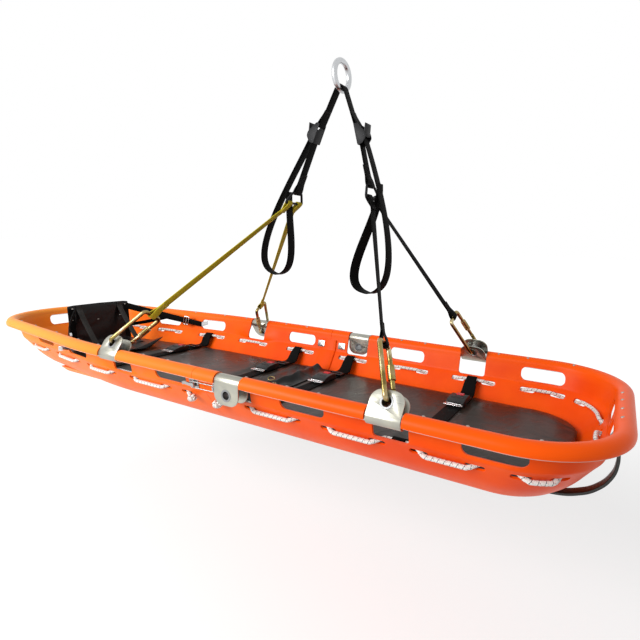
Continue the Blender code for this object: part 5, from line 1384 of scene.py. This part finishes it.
def belt_lap(number, x, mirror):
    """The webbing's tail, turned back over the rope loop at the far side and held by a plastic tri-glide."""
    tail, across, widths = [], [], []
    lift = BELT_T + 0.0004
    for p, a, w in mirror:
        if p.y > HALF_WIDTH - LAP_INSET:
            tail.append(p + Vector((0.0, -lift * 0.7 if p.z > PAD_TOP + 0.012 else 0.0, lift)))
            across.append(a)
            widths.append(w - 0.001)
    end_y = HALF_WIDTH - LAP_INSET
    tail.insert(0, Vector((x, end_y, pad_height(end_y) + BELT_REST + BELT_T / 2 + lift)))
    across.insert(0, across[0])
    widths.insert(0, widths[0])
    ply = webbing(f"belt_{number}_tail", tail, across, widths, BELT_T, black_weave, step=0.005)
    y = HALF_WIDTH - LAP_INSET + 0.012
    glide_at = Place((x, y, pad_height(y) + BELT_REST + BELT_T + lift / 2), (0, 1, 0), (1, 0, 0))
    bars = [prism(glide_at.moved(u, lift / 2 + 0.0026), rounded(*GLIDE_BAR, 4), GLIDE_REACH)
            for u in (-GLIDE_HALF[0], GLIDE_HALF[0])]
    bars += [prism(glide_at.moved(0.0, lift / 2 + 0.0020), rounded(*GLIDE_CHEEK, 4),
                   (w - GLIDE_CHEEK[2], w + GLIDE_CHEEK[2])) for w in (-GLIDE_HALF[1], GLIDE_HALF[1])]
    glide = piece(f"belt_{number}_tri_glide", *bars[0], black_abs)
    for bar in bars[1:]:
        cut(glide, [bar], "UNION")


def belt(number, x, buckle_inset):
    """One belt from rope to rope, with its buckle, button and tongue."""
    line = RopeLine("head" if x > 0 else "foot")
    spot = line.place(abs(x))
    rope_at = spot.o + spot.w * ROPE_IN
    along = spot.u.cross(spot.w)
    along = along if along.x > 0 else -along
    inward = Vector((-along.y, along.x, 0.0)).normalized()
    wrap = ROPE_R + BELT_EYE_CLEAR + BELT_T / 2
    above_pad = BELT_REST + BELT_T / 2
    centre = Vector((x, rope_at.y, rope_at.z))
    half = []
    for i in range(15):
        a = math.radians(BELT_SWEEP[0] + BELT_SWEEP[1] * i / 14)
        half.append((centre - inward * wrap * math.cos(a) + Vector((0, 0, wrap * math.sin(a))), along,
                     BELT_EYE_WIDTH))
    neck_in, neck_drop, neck_width = BELT_NECK
    half.append((centre + inward * neck_in + Vector((0, 0, neck_drop)), along, neck_width))
    for inset, lift in BELT_LANDINGS:
        y = HALF_WIDTH - inset
        half.append((Vector((x, -y, pad_height(y) + above_pad + lift)), Vector((1, 0, 0)), BELT_WIDTH))
    mirror = [(Vector((p.x, -p.y, p.z)), Vector((a.x, -a.y, a.z)), w) for p, a, w in reversed(half)]
    row = half + mirror
    strap = webbing(f"belt_{number}_webbing", [p for p, _, _ in row], [a for _, a, _ in row],
                    [w for _, _, w in row], BELT_T, black_weave, step=0.005)
    belt_lap(number, x, mirror)
    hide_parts(f"belt_{number}")
    width, length, height = BELT_BUCKLE
    y = HALF_WIDTH - buckle_inset
    place = Place((x, y, pad_height(y) + above_pad + BELT_T / 2 + BUCKLE_REST), (0, 1, 0), (1, 0, 0))
    side = [(-length / 2 + 0.004, 0.0), (length / 2 - 0.004, 0.0), (length / 2, 0.004),
            (length / 2, height * 0.60), (length / 2 - 0.007, height * 0.94), (length / 2 - 0.024, height),
            (-length / 2 + 0.016, height * 0.86), (-length / 2, height * 0.56), (-length / 2, 0.003)]
    shape = soften(side + side[:2], 0.40, 6)[1:-1]
    case = piece(f"belt_{number}_buckle_case", *prism(place, shape, (-width / 2, width / 2)), black_abs)
    key_u = length / 2 - BUTTON_MARGIN - BUTTON[1] / 2
    room_u, room_w = BUTTON[1] / 2 + BUTTON_GAP, BUTTON[0] / 2 + BUTTON_GAP
    top = place.through(key_u)
    pocket = prism(top, rounded(2 * room_u, 2 * room_w, 0.0022, 4), (height - 0.0105, height + 0.01))
    mouth = prism(place, [(-length / 2 - 0.01, height * 0.22), (-length / 2 + 0.012, height * 0.22),
                          (-length / 2 + 0.012, height * 0.50), (-length / 2 - 0.01, height * 0.50)],
                  (-width / 2 + 0.005, width / 2 - 0.005))
    ribs = [prism(place.moved(u, height * 0.90), rounded(0.0018, 0.0040, 0.0007, 3),
                  (-width / 2 + 0.006, width / 2 - 0.006)) for u in GRIP_RIBS]
    cut(case, [pocket, mouth] + ribs)
    chamfer(case, 0.0012, 3, 40)
    key = piece(f"belt_{number}_key", *prism(top, rounded(BUTTON[1], BUTTON[0], 0.0020, 5),
                                             (height + BUTTON_PROUD - BUTTON[2] + BUTTON_TRAVEL,
                                              height + BUTTON_PROUD)),
                red_abs, f"button_{number}")
    chamfer(key, 0.0009, 3, 40)
    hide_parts(f"belt_{number}_buckle")
    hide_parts(f"belt_{number}_button")
    side = [(-0.0195, 0.0), (-0.0165, 0.003), (-0.004, -0.001), (0.006, -0.009)]
    blade = [(u - length / 2, -width / 2 - w) for u, w in (side[2], side[1], side[0])]
    blade += [(u - length / 2, width / 2 + w) for u, w in side]
    blade.append((side[3][0] - length / 2, -width / 2 - side[3][1]))
    flat = place.through()
    outline = [(u, -w) for u, w in soften(blade + blade[:2], 0.4, 4)[1:-1]]
    level = height * TONGUE_RISE
    tongue = piece(f"belt_{number}_tongue", *prism(flat, outline, (level, level + TONGUE_T)), nickel)
    slot_at = flat.moved(-length / 2 - TONGUE_SLOT[0])
    cut(tongue, [prism(slot_at, rounded(TONGUE_SLOT[1], width - 0.006, 0.0024, 5), (-0.02, 0.04))])
    chamfer(tongue, 0.0006, 2, 50)


for number, (x, buckle_inset) in enumerate(zip(BELT_X, BUCKLE_INSET), 1):
    belt(number, x, buckle_inset)

# Toggle latches, one each side at the joint: pressed stainless base and keeper, screwed through the wall to
# square backing plates, a toggle lever on the base and a wire bail that pulls over the keeper's hook.
LATCH_Z, LATCH_LEAN_Z = -0.031, -0.050
LATCH_PLATE, LATCH_X = (0.030, 0.026, 0.0020), {"base": -0.034, "keeper": 0.046}
LATCH_OFF, BACKING_OFF, BACKING_HALF = 0.0003, {"base": 0.0036, "keeper": 0.0006}, (0.013, 0.0105)
LEVER_PIVOT, LEVER_HALF = (-0.030, 0.0085), 0.0042
BAIL_ARM, BAIL_WIRE_R, BAIL_V, BAIL_GAP, BAIL_BEND = 0.008, 0.0014, 0.0062, (0.0004, 0.0005), 0.002
SCREW_R, SCREW_PITCH, SCREW_HEAD = 0.0022, 0.011, (0.0034, 0.0012)
EAR_SPAN, EAR_BACK, EAR_FRONT, EAR_R, EAR_SHIFT = (0.0045, 0.0062), -0.0055, 0.0030, 0.0042, (-0.0012, 0.0008)
KEEPER_HOOK, HOOK_TOP, HOOK_HALF = (-0.0115, -0.0085), 0.0085, 0.0050
TOGGLE = ((0.0035, -0.0030), (0.0035, 0.0030), (-0.0100, 0.0030), (-0.0300, 0.0010), (-0.0340, 0.0040),
          (-0.0350, 0.0030), (-0.0310, -0.0012), (-0.0120, -0.0005), (-0.0115, -0.0030))

stainless = bare_metal("pressed_stainless_steel", "#A9A9A8", 0.27, 320.0)


def screw_heads(place, x, face, out):
    """Two round screw heads on a face, standing inward or outward."""
    bodies = []
    for w in (-SCREW_PITCH / 2, SCREW_PITCH / 2):
        seat = place.through(x, face, w)
        radius, rise = SCREW_HEAD
        bodies.append(lathe(seat, [(0.0, radius), (out * rise * 0.45, radius * 0.96),
                                   (out * rise * 0.85, radius * 0.66), (out * rise, radius * 0.30)], 20))
    return bodies


def latch(side_name, side):
    """Base, keeper, backing plates, screws, toggle lever and wire bail of one side."""
    slope = math.atan2(WALL_CORNERS[1][0] - LIP_R, -LATCH_LEAN_Z)
    place = Place((0.0, side * (HALF_WIDTH - wall_inset(LATCH_Z)), LATCH_Z), (1, 0, 0),
                  (0.0, math.sin(slope), side * math.cos(slope)))
    length, tall, thick = LATCH_PLATE
    hinge_u, hinge_v = LEVER_PIVOT
    for name, x in LATCH_X.items():
        upright = place.through(x)
        face = piece(f"latch_{side_name}_{name}_plate", *prism(upright, rounded(length, tall, 0.0035, 6),
                                                               (LATCH_OFF, LATCH_OFF + thick)), stainless)
        inner = -SKIN - BACKING_OFF[name]
        raised = []
        if name == "base":
            for out in (-1, 1):
                ear = [(hinge_u + EAR_BACK, LATCH_OFF + 0.001), (hinge_u + EAR_FRONT, LATCH_OFF + 0.001)]
                ear += [(hinge_u + EAR_SHIFT[0] + EAR_R * math.cos(a),
                         hinge_v + EAR_SHIFT[1] + EAR_R * math.sin(a))
                        for a in (math.pi * i / 8 for i in range(9))]
                raised.append(prism(place, ear, sorted((out * EAR_SPAN[0], out * EAR_SPAN[1]))))
        else:
            hook_u = [x + u for u in KEEPER_HOOK]
            raised.append(prism(place, [(hook_u[0], LATCH_OFF + 0.001), (hook_u[1], LATCH_OFF + 0.001),
                                        (hook_u[1], HOOK_TOP), (hook_u[0] - 0.0015, HOOK_TOP),
                                        (hook_u[0] - 0.0015, HOOK_TOP - 0.0016),
                                        (hook_u[0], HOOK_TOP - 0.0024)], (-HOOK_HALF, HOOK_HALF)))
        cut(face, raised, "UNION")
        chamfer(face, 0.0003)
        backing = piece(f"latch_{side_name}_{name}_backing",
                        *prism(upright, rounded(2 * BACKING_HALF[0], 2 * BACKING_HALF[1], 0.0012, 4),
                               (inner - thick, inner)), stainless)
        chamfer(backing, 0.0003)
        shanks = [drum(place.through(x, 0.0, w), SCREW_R, (inner - thick, LATCH_OFF + thick), 16)
                  for w in (-SCREW_PITCH / 2, SCREW_PITCH / 2)]
        heads = screw_heads(place, x, LATCH_OFF + thick, 1) + screw_heads(place, x, inner - thick, -1)
        screws = piece(f"latch_{side_name}_{name}_screws", *gather(shanks + heads), bush_steel, sharp=30)
        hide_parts(f"latch_{side_name}_{name}")
    arm = [(hinge_u + u, hinge_v + v) for u, v in soften(TOGGLE + TOGGLE[:2], 0.3, 4)[1:-1]]
    lever = piece(f"latch_{side_name}_toggle", *prism(place, arm, (-LEVER_HALF, LEVER_HALF)), stainless,
                  side_name + "_latch_lever")
    chamfer(lever, 0.0005)
    turn_u = hinge_u - BAIL_ARM
    far = LATCH_X["keeper"] + KEEPER_HOOK[1] + BAIL_WIRE_R + BAIL_GAP[0]
    half = EAR_SPAN[1] + BAIL_GAP[1] + BAIL_WIRE_R
    route = [(turn_u, hinge_v, LEVER_HALF + BAIL_GAP[0]), (turn_u, hinge_v, half - BAIL_BEND),
             (turn_u + BAIL_BEND, hinge_v, half), (far - BAIL_BEND * 1.6, BAIL_V, half),
             (far, BAIL_V, half - BAIL_BEND)]
    loop = [place.at(u, v, w) for u, v, w in route] + [place.at(u, v, -w) for u, v, w in reversed(route)]
    bail = tube_along(f"latch_{side_name}_wire", [Vector(p) for p in spaced(loop, 0.004)], BAIL_WIRE_R,
                      stainless, side_name + "_latch_bail", sides=14)
    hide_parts(f"latch_{side_name}_lever")
    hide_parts(f"latch_{side_name}_bail")


for side_name, side in SIDES.items():
    latch(side_name, side)

# Foot rest: a stiff board sewn into black vinyl, with a slack sole sheet in front of it and webbing gussets.
# Each side is tied back by webbing through a slide to a pressed steel hook round the end of a hand hole.
REST_X, REST_HALF, REST_TOP, REST_SOLE, REST_T = -0.850, 0.115, 0.062, 0.215, 0.008
PAD_CROWN, REST_GAP, REST_LEAN = 0.0030, 0.0006, 0.012
REST_FOLD = ((0.014, 0.0), (0.003, 0.005), (0.0, 0.016))
SOLE_WAVE, SOLE_LIFT, BOARD_SWELL = 0.0085, 0.030, 0.0016
GUSSET_WIDTH, GUSSET_T, BRACE_ACROSS, BRACE_REACH = 0.020, 0.0014, 0.66, 0.105
TIE_START, TIE_SAG, TIE_WIDTH = (0.006, 0.016, 0.020), 0.006, 0.025
TIE_HOOK = ((-0.030, 0.0060, 0.020), (-0.014, 0.0064, 0.016), (-0.004, 0.0066, 0.014), (0.0038, 0.0054, 0.014),
            (0.0064, -0.0030, 0.014))
SLIDE_AT, SLIDE_SIZE, SLIDE_T, SLIDE_WINDOW = 0.56, (0.022, 0.034), 0.0060, (0.0058, 0.0050)
REST_RIVETS = ((0.012, -0.86), (0.012, 0.86), (0.050, 0.66), (0.056, -0.90), (0.060, -0.10))

rest_vinyl = vinyl("vinyl_coated_board", "#171515", "#0D0C0C")
rest_z = PAD_TOP + PAD_CROWN + REST_GAP + REST_T / 2
spine = [(REST_X - REST_LEAN, REST_TOP)] + [(REST_X + step, rest_z + rise)
                                            for step, rise in reversed(REST_FOLD)]
spine.append((REST_X + REST_SOLE, rest_z))
spine = spaced(soften(spine, 0.3, 4), 0.007)
marks = [0.0]
for a, b in zip(spine, spine[1:]):
    marks.append(marks[-1] + math.dist(a, b))
fold_run = marks[min(range(len(spine)), key=lambda i: math.dist(spine[i], (REST_X, rest_z)))]


def rest_point(k, across, face):
    """A point of the foot rest's skin: k along the spine, across from -1 to 1, face 1 toward the patient."""
    run, total = marks[k], marks[-1]
    a, b = spine[max(k - 1, 0)], spine[min(k + 1, len(spine) - 1)]
    tangent = Vector((b[0] - a[0], 0.0, b[1] - a[1])).normalized()
    normal = Vector((0.0, -1.0, 0.0)).cross(tangent)
    normal = normal if normal.x + normal.z > 0 else -normal
    y = across * REST_HALF
    sole = within((run - fold_run - 0.02) / (total - fold_run - 0.02))
    board = within((fold_run - run) / 0.06)
    rim = (1 - across ** 8) * min(run / 0.006, 1.0) * min((total - run) / 0.004, 1.0)
    half = REST_T / 2 * (0.42 + 0.58 * rim) - (0.0014 + 0.0012 * sole if face > 0 else 0.0)
    swell = BOARD_SWELL * board * (1 - across ** 4) * (0.6 + 0.4 * math.sin(run * 70 + across * 2.2))
    wave = 0.5 + 0.5 * math.sin(across * 5.5 + run * 21) * math.cos(across * 2.3 - run * 34 + 0.8)
    corner = max(0.0, (across - 0.30) / 0.70) ** 1.6 * sole ** 2 * SOLE_LIFT
    rise = Vector((0.0, 0.0, sole * SOLE_WAVE * wave + corner))
    ragged = Vector((0.010 * (math.sin(across * 3.1 + 0.6) - 1) * sole ** 3, 0.0, 0.0))
    out = face * half + (swell if face > 0 else 0.0)
    return Vector((spine[k][0], y, spine[k][1])) + ragged + rise + normal * out


lanes = [-1 + 2 * i / 40 for i in range(41)]
loops = []
for k in range(len(spine)):
    loops.append([rest_point(k, t, 1) for t in lanes] + [rest_point(k, t, -1) for t in reversed(lanes)])
rest = piece("foot_rest_cover", *stitch(loops), rest_vinyl, "foot_rest_panel", sharp=60)
smooth_cover = rest.modifiers.new("fine", "SUBSURF")
smooth_cover.levels = smooth_cover.render_levels = 1
settle(rest, sharp=70)
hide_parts("foot_rest")


def on_rest(run, across):
    """A place on the foot rest's front skin, and the way out of it."""
    k = min(range(len(marks)), key=lambda i: abs(marks[i] - run))
    skin = rest_point(k, across, 1)
    ahead_k = min(k + 1, len(spine) - 1)
    tangent = (rest_point(ahead_k, across, 1) - rest_point(ahead_k - 1, across, 1)).normalized()
    normal = Vector((0.0, -1.0, 0.0)).cross(tangent)
    normal = normal if normal.x + normal.z > 0 else -normal
    return skin + normal * (GUSSET_T / 2 + 0.0004), normal


charcoal_weave = woven_polyester("woven_polyester_charcoal", "#4E4D4B", "#2A2928", 0.0)
gussets = []
for side in (-1, 1):
    line = [on_rest(0.012 + (fold_run - 0.018) * i / 14, side * 0.90) for i in range(15)]
    run_dir = (line[-1][0] - line[0][0]).normalized()
    hems = [webbing(f"rest_edge_band_{len(gussets) + 1}", [p for p, _ in line],
                    [n.cross(run_dir) for _, n in line], GUSSET_WIDTH, GUSSET_T, black_weave,
                    "foot_rest_panel")]
    head_at, out = on_rest(0.020, side * BRACE_ACROSS)
    foot_at, rise = on_rest(fold_run + BRACE_REACH, side * BRACE_ACROSS)
    down = Vector((0, 0, -1))
    brace = [head_at + out * 0.0012 - down * 0.016, head_at + out * 0.0016,
             head_at.lerp(foot_at, 0.5) + Vector((0.0, 0.0, -0.004)),
             foot_at + rise * 0.0016, foot_at + rise * 0.0012 + Vector((0.020, 0.0, 0.0))]
    hems.append(webbing(f"rest_brace_{len(gussets) + 1}", brace, [Vector((0, 1, 0))] * len(brace),
                        GUSSET_WIDTH, GUSSET_T, charcoal_weave, "foot_rest_panel"))
    gussets += hems
rivets = []
for run, across in REST_RIVETS:
    where, normal = on_rest(run, across)
    rivets.append(dome(Place(where, (0, 1, 0), normal), 0.0032, 0.0012))
studs = piece("foot_rest_rivets", *gather(rivets), aluminium, "foot_rest_panel", sharp=60)
for side_name, side in SIDES.items():
    edge = Vector((HAND_HOLE_X[1] - HAND_HOLE[0] / 2, side * (HALF_WIDTH - wall_inset(HAND_HOLE_Z)),
                   HAND_HOLE_Z))
    ahead, inside, below = TIE_START
    start = Vector((REST_X + ahead, side * (REST_HALF - inside), REST_TOP - below))
    bend = start.lerp(edge, 0.5) - Vector((0, 0, TIE_SAG))
    hook = [edge + Vector((ahead_of, side * out, 0)) for out, ahead_of, _ in TIE_HOOK]
    route = [start, bend, hook[0]]
    turned = [Vector((0.25, 0, 1)), Vector((0.2, 0, 1)), Vector((0, 0, 1))]
    tie = webbing(f"foot_rest_tie_{side_name}", route, turned, [TIE_WIDTH, TIE_WIDTH, 0.020], STRAP_T,
                  black_weave, None)
    low = Vector((REST_X + 0.006, side * (REST_HALF - 0.004), -0.034))
    branch = webbing(f"foot_rest_tie_{side_name}_low", [low, low.lerp(bend, 0.55) + Vector((0, 0, -0.004)),
                                                        bend + Vector((0, 0, -0.003))],
                     [Vector((0.4, -side * 0.5, 1.0)), Vector((0.5, -side * 0.3, 1.0)), Vector((0.2, 0, 1))],
                     0.016, 0.0020, black_weave, None)
    claw = webbing(f"foot_rest_hook_{side_name}", hook, [Vector((0, 0, 1))] * len(hook),
                   [w for _, _, w in TIE_HOOK], 0.0022, nickel, "basket", step=0.003)
    chamfer(claw, 0.0003)
    mid = bend.lerp(hook[0], SLIDE_AT)
    lie = Place(mid, hook[0] - bend, Vector((0, 0, 1)))
    flat = lie.through()
    slide = piece(f"foot_rest_slide_buckle_{side_name}",
                  *prism(flat, rounded(*SLIDE_SIZE, 0.003, 4), (-SLIDE_T / 2, SLIDE_T / 2)), nickel)
    gap, beside = SLIDE_WINDOW
    cut(slide, [prism(flat.moved(u), rounded(gap, SLIDE_SIZE[1] - 0.006, 0.001, 3), (-0.01, 0.01))
                for u in (-beside, beside)])
    chamfer(slide, 0.0004)
    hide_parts(f"foot_rest_strap_{side_name}")
    for part in (tie, branch):
        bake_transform(part)

# Skid: two flat steel bars, powder-coated black, bent down from the rim under the head end and joined by a
# cross bar beneath the hull, so that the bow can be dragged. A dome nut holds the top of each bar.
SKID_Y, SKID_WIDTH, SKID_T, SKID_GAP = 0.110, 0.025, 0.006, 0.0005
SKID_TOP = ((-0.011, -0.0195), (-0.0055, -0.050), (-0.009, -0.080), (-0.023, -0.106), (-0.047, -0.128),
            (-0.085, -0.144))
SKID_SOLE, SKID_CROSS, SKID_SUNK = (-0.125, -0.245), (-0.230, 0.0125), 0.0002
NUT_R, NUT_T, NUT_DOWN, NUT_DOME = 0.0062, 0.0042, 0.020, ((0.0042, 0.0050), (0.0064, 0.0044), (0.0080, 0.0026))


def powder_coat():
    """Powder-coated steel: satin black with a faint orange peel, rubbed grey in scattered patches."""
    mat, tree = finish("powder_coated_steel", "#191B19", 0.0, 0.36, IOR=1.5)
    place = add(tree, "TexCoord", {}, "Object")
    scuff = add(tree, "TexNoise", {"Scale": 55.0, "Detail": 6.0, "Roughness": 0.72, "Vector": place})
    worn = add(tree, "MapRange", {"Value": scuff, "From Min": 0.56, "From Max": 0.70})
    tone = add(tree, "Mix", {"data_type": "RGBA", 0: worn, 6: linear("#191B19"), 7: linear("#4A4B46")})
    peel = add(tree, "TexNoise", {"Scale": 900.0, "Detail": 1.0, "Vector": place})
    relief = add(tree, "Bump", {"Strength": 0.12, "Distance": 0.0003, "Height": peel})
    return feed(mat, Base_Color=tone, Normal=relief)


black_coat = powder_coat()
skid_low = -(FLOOR_DEPTH + SKID_GAP + SKID_T / 2)
shape = [(HEAD_X + x, z) for x, z in SKID_TOP] + [(HEAD_X + x, skid_low) for x in SKID_SOLE]
shape = spaced(soften(shape, 0.42, 6), 0.02)
bodies = []
for side in (-1, 1):
    centre_line = [Vector((x, side * SKID_Y, z)) for x, z in shape]
    loops = []
    for k, p in enumerate(centre_line):
        out = Vector((0, 1, 0)).cross(run_at(centre_line, k))
        loops.append([p + out * v + Vector((0, w, 0)) for w, v in rounded(SKID_WIDTH, SKID_T, 0.0016, 4)])
    bodies.append(stitch(loops))
skid = piece("head_skid_bars", *bodies[0], black_coat, sharp=40)
cross_at = Place((HEAD_X + SKID_CROSS[0], 0.0, skid_low), (1, 0, 0), (0, 1, 0))
half_t = SKID_T / 2 - SKID_SUNK
cut(skid, [bodies[1]], "UNION")
cut(skid, [prism(cross_at, rounded(2 * SKID_CROSS[1], 2 * half_t, 0.0012, 4), (-SKID_Y, SKID_Y))], "UNION")
bodies = []
for side in (-1, 1):
    (x0, z0), (x1, z1) = SKID_TOP[:2]
    fall = Vector((x1 - x0, 0.0, z1 - z0)).normalized()
    inward = Vector((-1.0, 0.0, 0.0)) - fall * -fall.x
    spot = Vector((HEAD_X + x0, side * SKID_Y, z0)) + fall * NUT_DOWN
    nut = Place(spot + inward.normalized() * SKID_T / 2, fall, inward)
    bodies += [drum(nut, NUT_R, (0.0, NUT_T), 6), lathe(nut, NUT_DOME, 20)]
nuts = piece("head_skid_nuts", *gather(bodies), bush_steel, sharp=30)
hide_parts("head_skid")

# Floor and light: a plain white studio, with one broad soft lamp above the near side and an even sky.
# The floor and the sky look white to the camera and in gloss, and light the basket at a plainer level.
FLOOR_DROP, FLOOR_HALF, FLOOR_LIFT, FLOOR_FADE = 0.62, 60, (0.42, 0.72), (1.3, 3.6)
SKY_LEVEL, LAMP_SIZE, LAMP_WATTS = 0.58, (1.8, 1.1), 62.0
LAMP_AT, LAMP_GOAL = Vector((-0.95, -2.10, 0.92)), Vector((-0.2, 0.0, 0.0))


def seen_directly(tree):
    """1 for the rays with which the camera, a gloss or a glass looks at the background, and 0 for light."""
    shown = add(tree, "LightPath", {}, "Is Camera Ray")
    for kind in ("Is Glossy Ray", "Is Transmission Ray"):
        shown = add(tree, "Math", {"operation": "MAXIMUM", 0: shown, 1: add(tree, "LightPath", {}, kind)})
    return shown


floor_mesh = bpy.data.meshes.new("studio_floor")
floor_z = -SEAT.z - FLOOR_DEPTH - FLOOR_DROP
corners = [(x * FLOOR_HALF, y * FLOOR_HALF, floor_z) for x, y in ((-1, -1), (1, -1), (1, 1), (-1, 1))]
floor_mesh.from_pydata(corners, [], [(0, 1, 2, 3)])
floor = bpy.data.objects.new("studio_floor", floor_mesh)
bpy.context.scene.collection.objects.link(floor)
mat, tree = finish("matt_white_floor", "#D2D2D2", 0.0, 0.9, Specular_IOR_Level=0.0,
                   Emission_Color=linear("#FFFFFF"))
flat = add(tree, "Mapping", {"Vector": add(tree, "TexCoord", {}, "Object"), "Scale": (1, 1, 0)})
away = add(tree, "VectorMath", {"operation": "LENGTH", 0: flat})
lift = add(tree, "MapRange", {"Value": away, "From Min": FLOOR_FADE[0], "From Max": FLOOR_FADE[1],
                              "To Min": FLOOR_LIFT[0], "To Max": FLOOR_LIFT[1]})
glow = add(tree, "Math", {"operation": "MULTIPLY", 0: seen_directly(tree), 1: lift})
feed(mat, Emission_Strength=glow)
floor_mesh.materials.append(mat)

world = bpy.data.worlds.new("studio")
bpy.context.scene.world = world
world.use_nodes = True
sky = world.node_tree.nodes["Background"]
level_out = add(world.node_tree, "MapRange", {"Value": seen_directly(world.node_tree), "To Min": SKY_LEVEL,
                                              "To Max": 1.0})
sky.inputs["Color"].default_value = (1.0, 1.0, 1.0, 1.0)
world.node_tree.links.new(level_out, sky.inputs["Strength"])

lamp = bpy.data.objects.new("soft_box", bpy.data.lights.new("soft_box", "AREA"))
bpy.context.scene.collection.objects.link(lamp)
lamp.data.shape = "RECTANGLE"
lamp.data.size, lamp.data.size_y = LAMP_SIZE
lamp.data.energy = LAMP_WATTS
lamp.location = LAMP_AT - SEAT
lamp.rotation_euler = (LAMP_GOAL - LAMP_AT).to_track_quat("-Z", "Y").to_euler()

bpy.context.scene.view_settings.view_transform = "Standard"
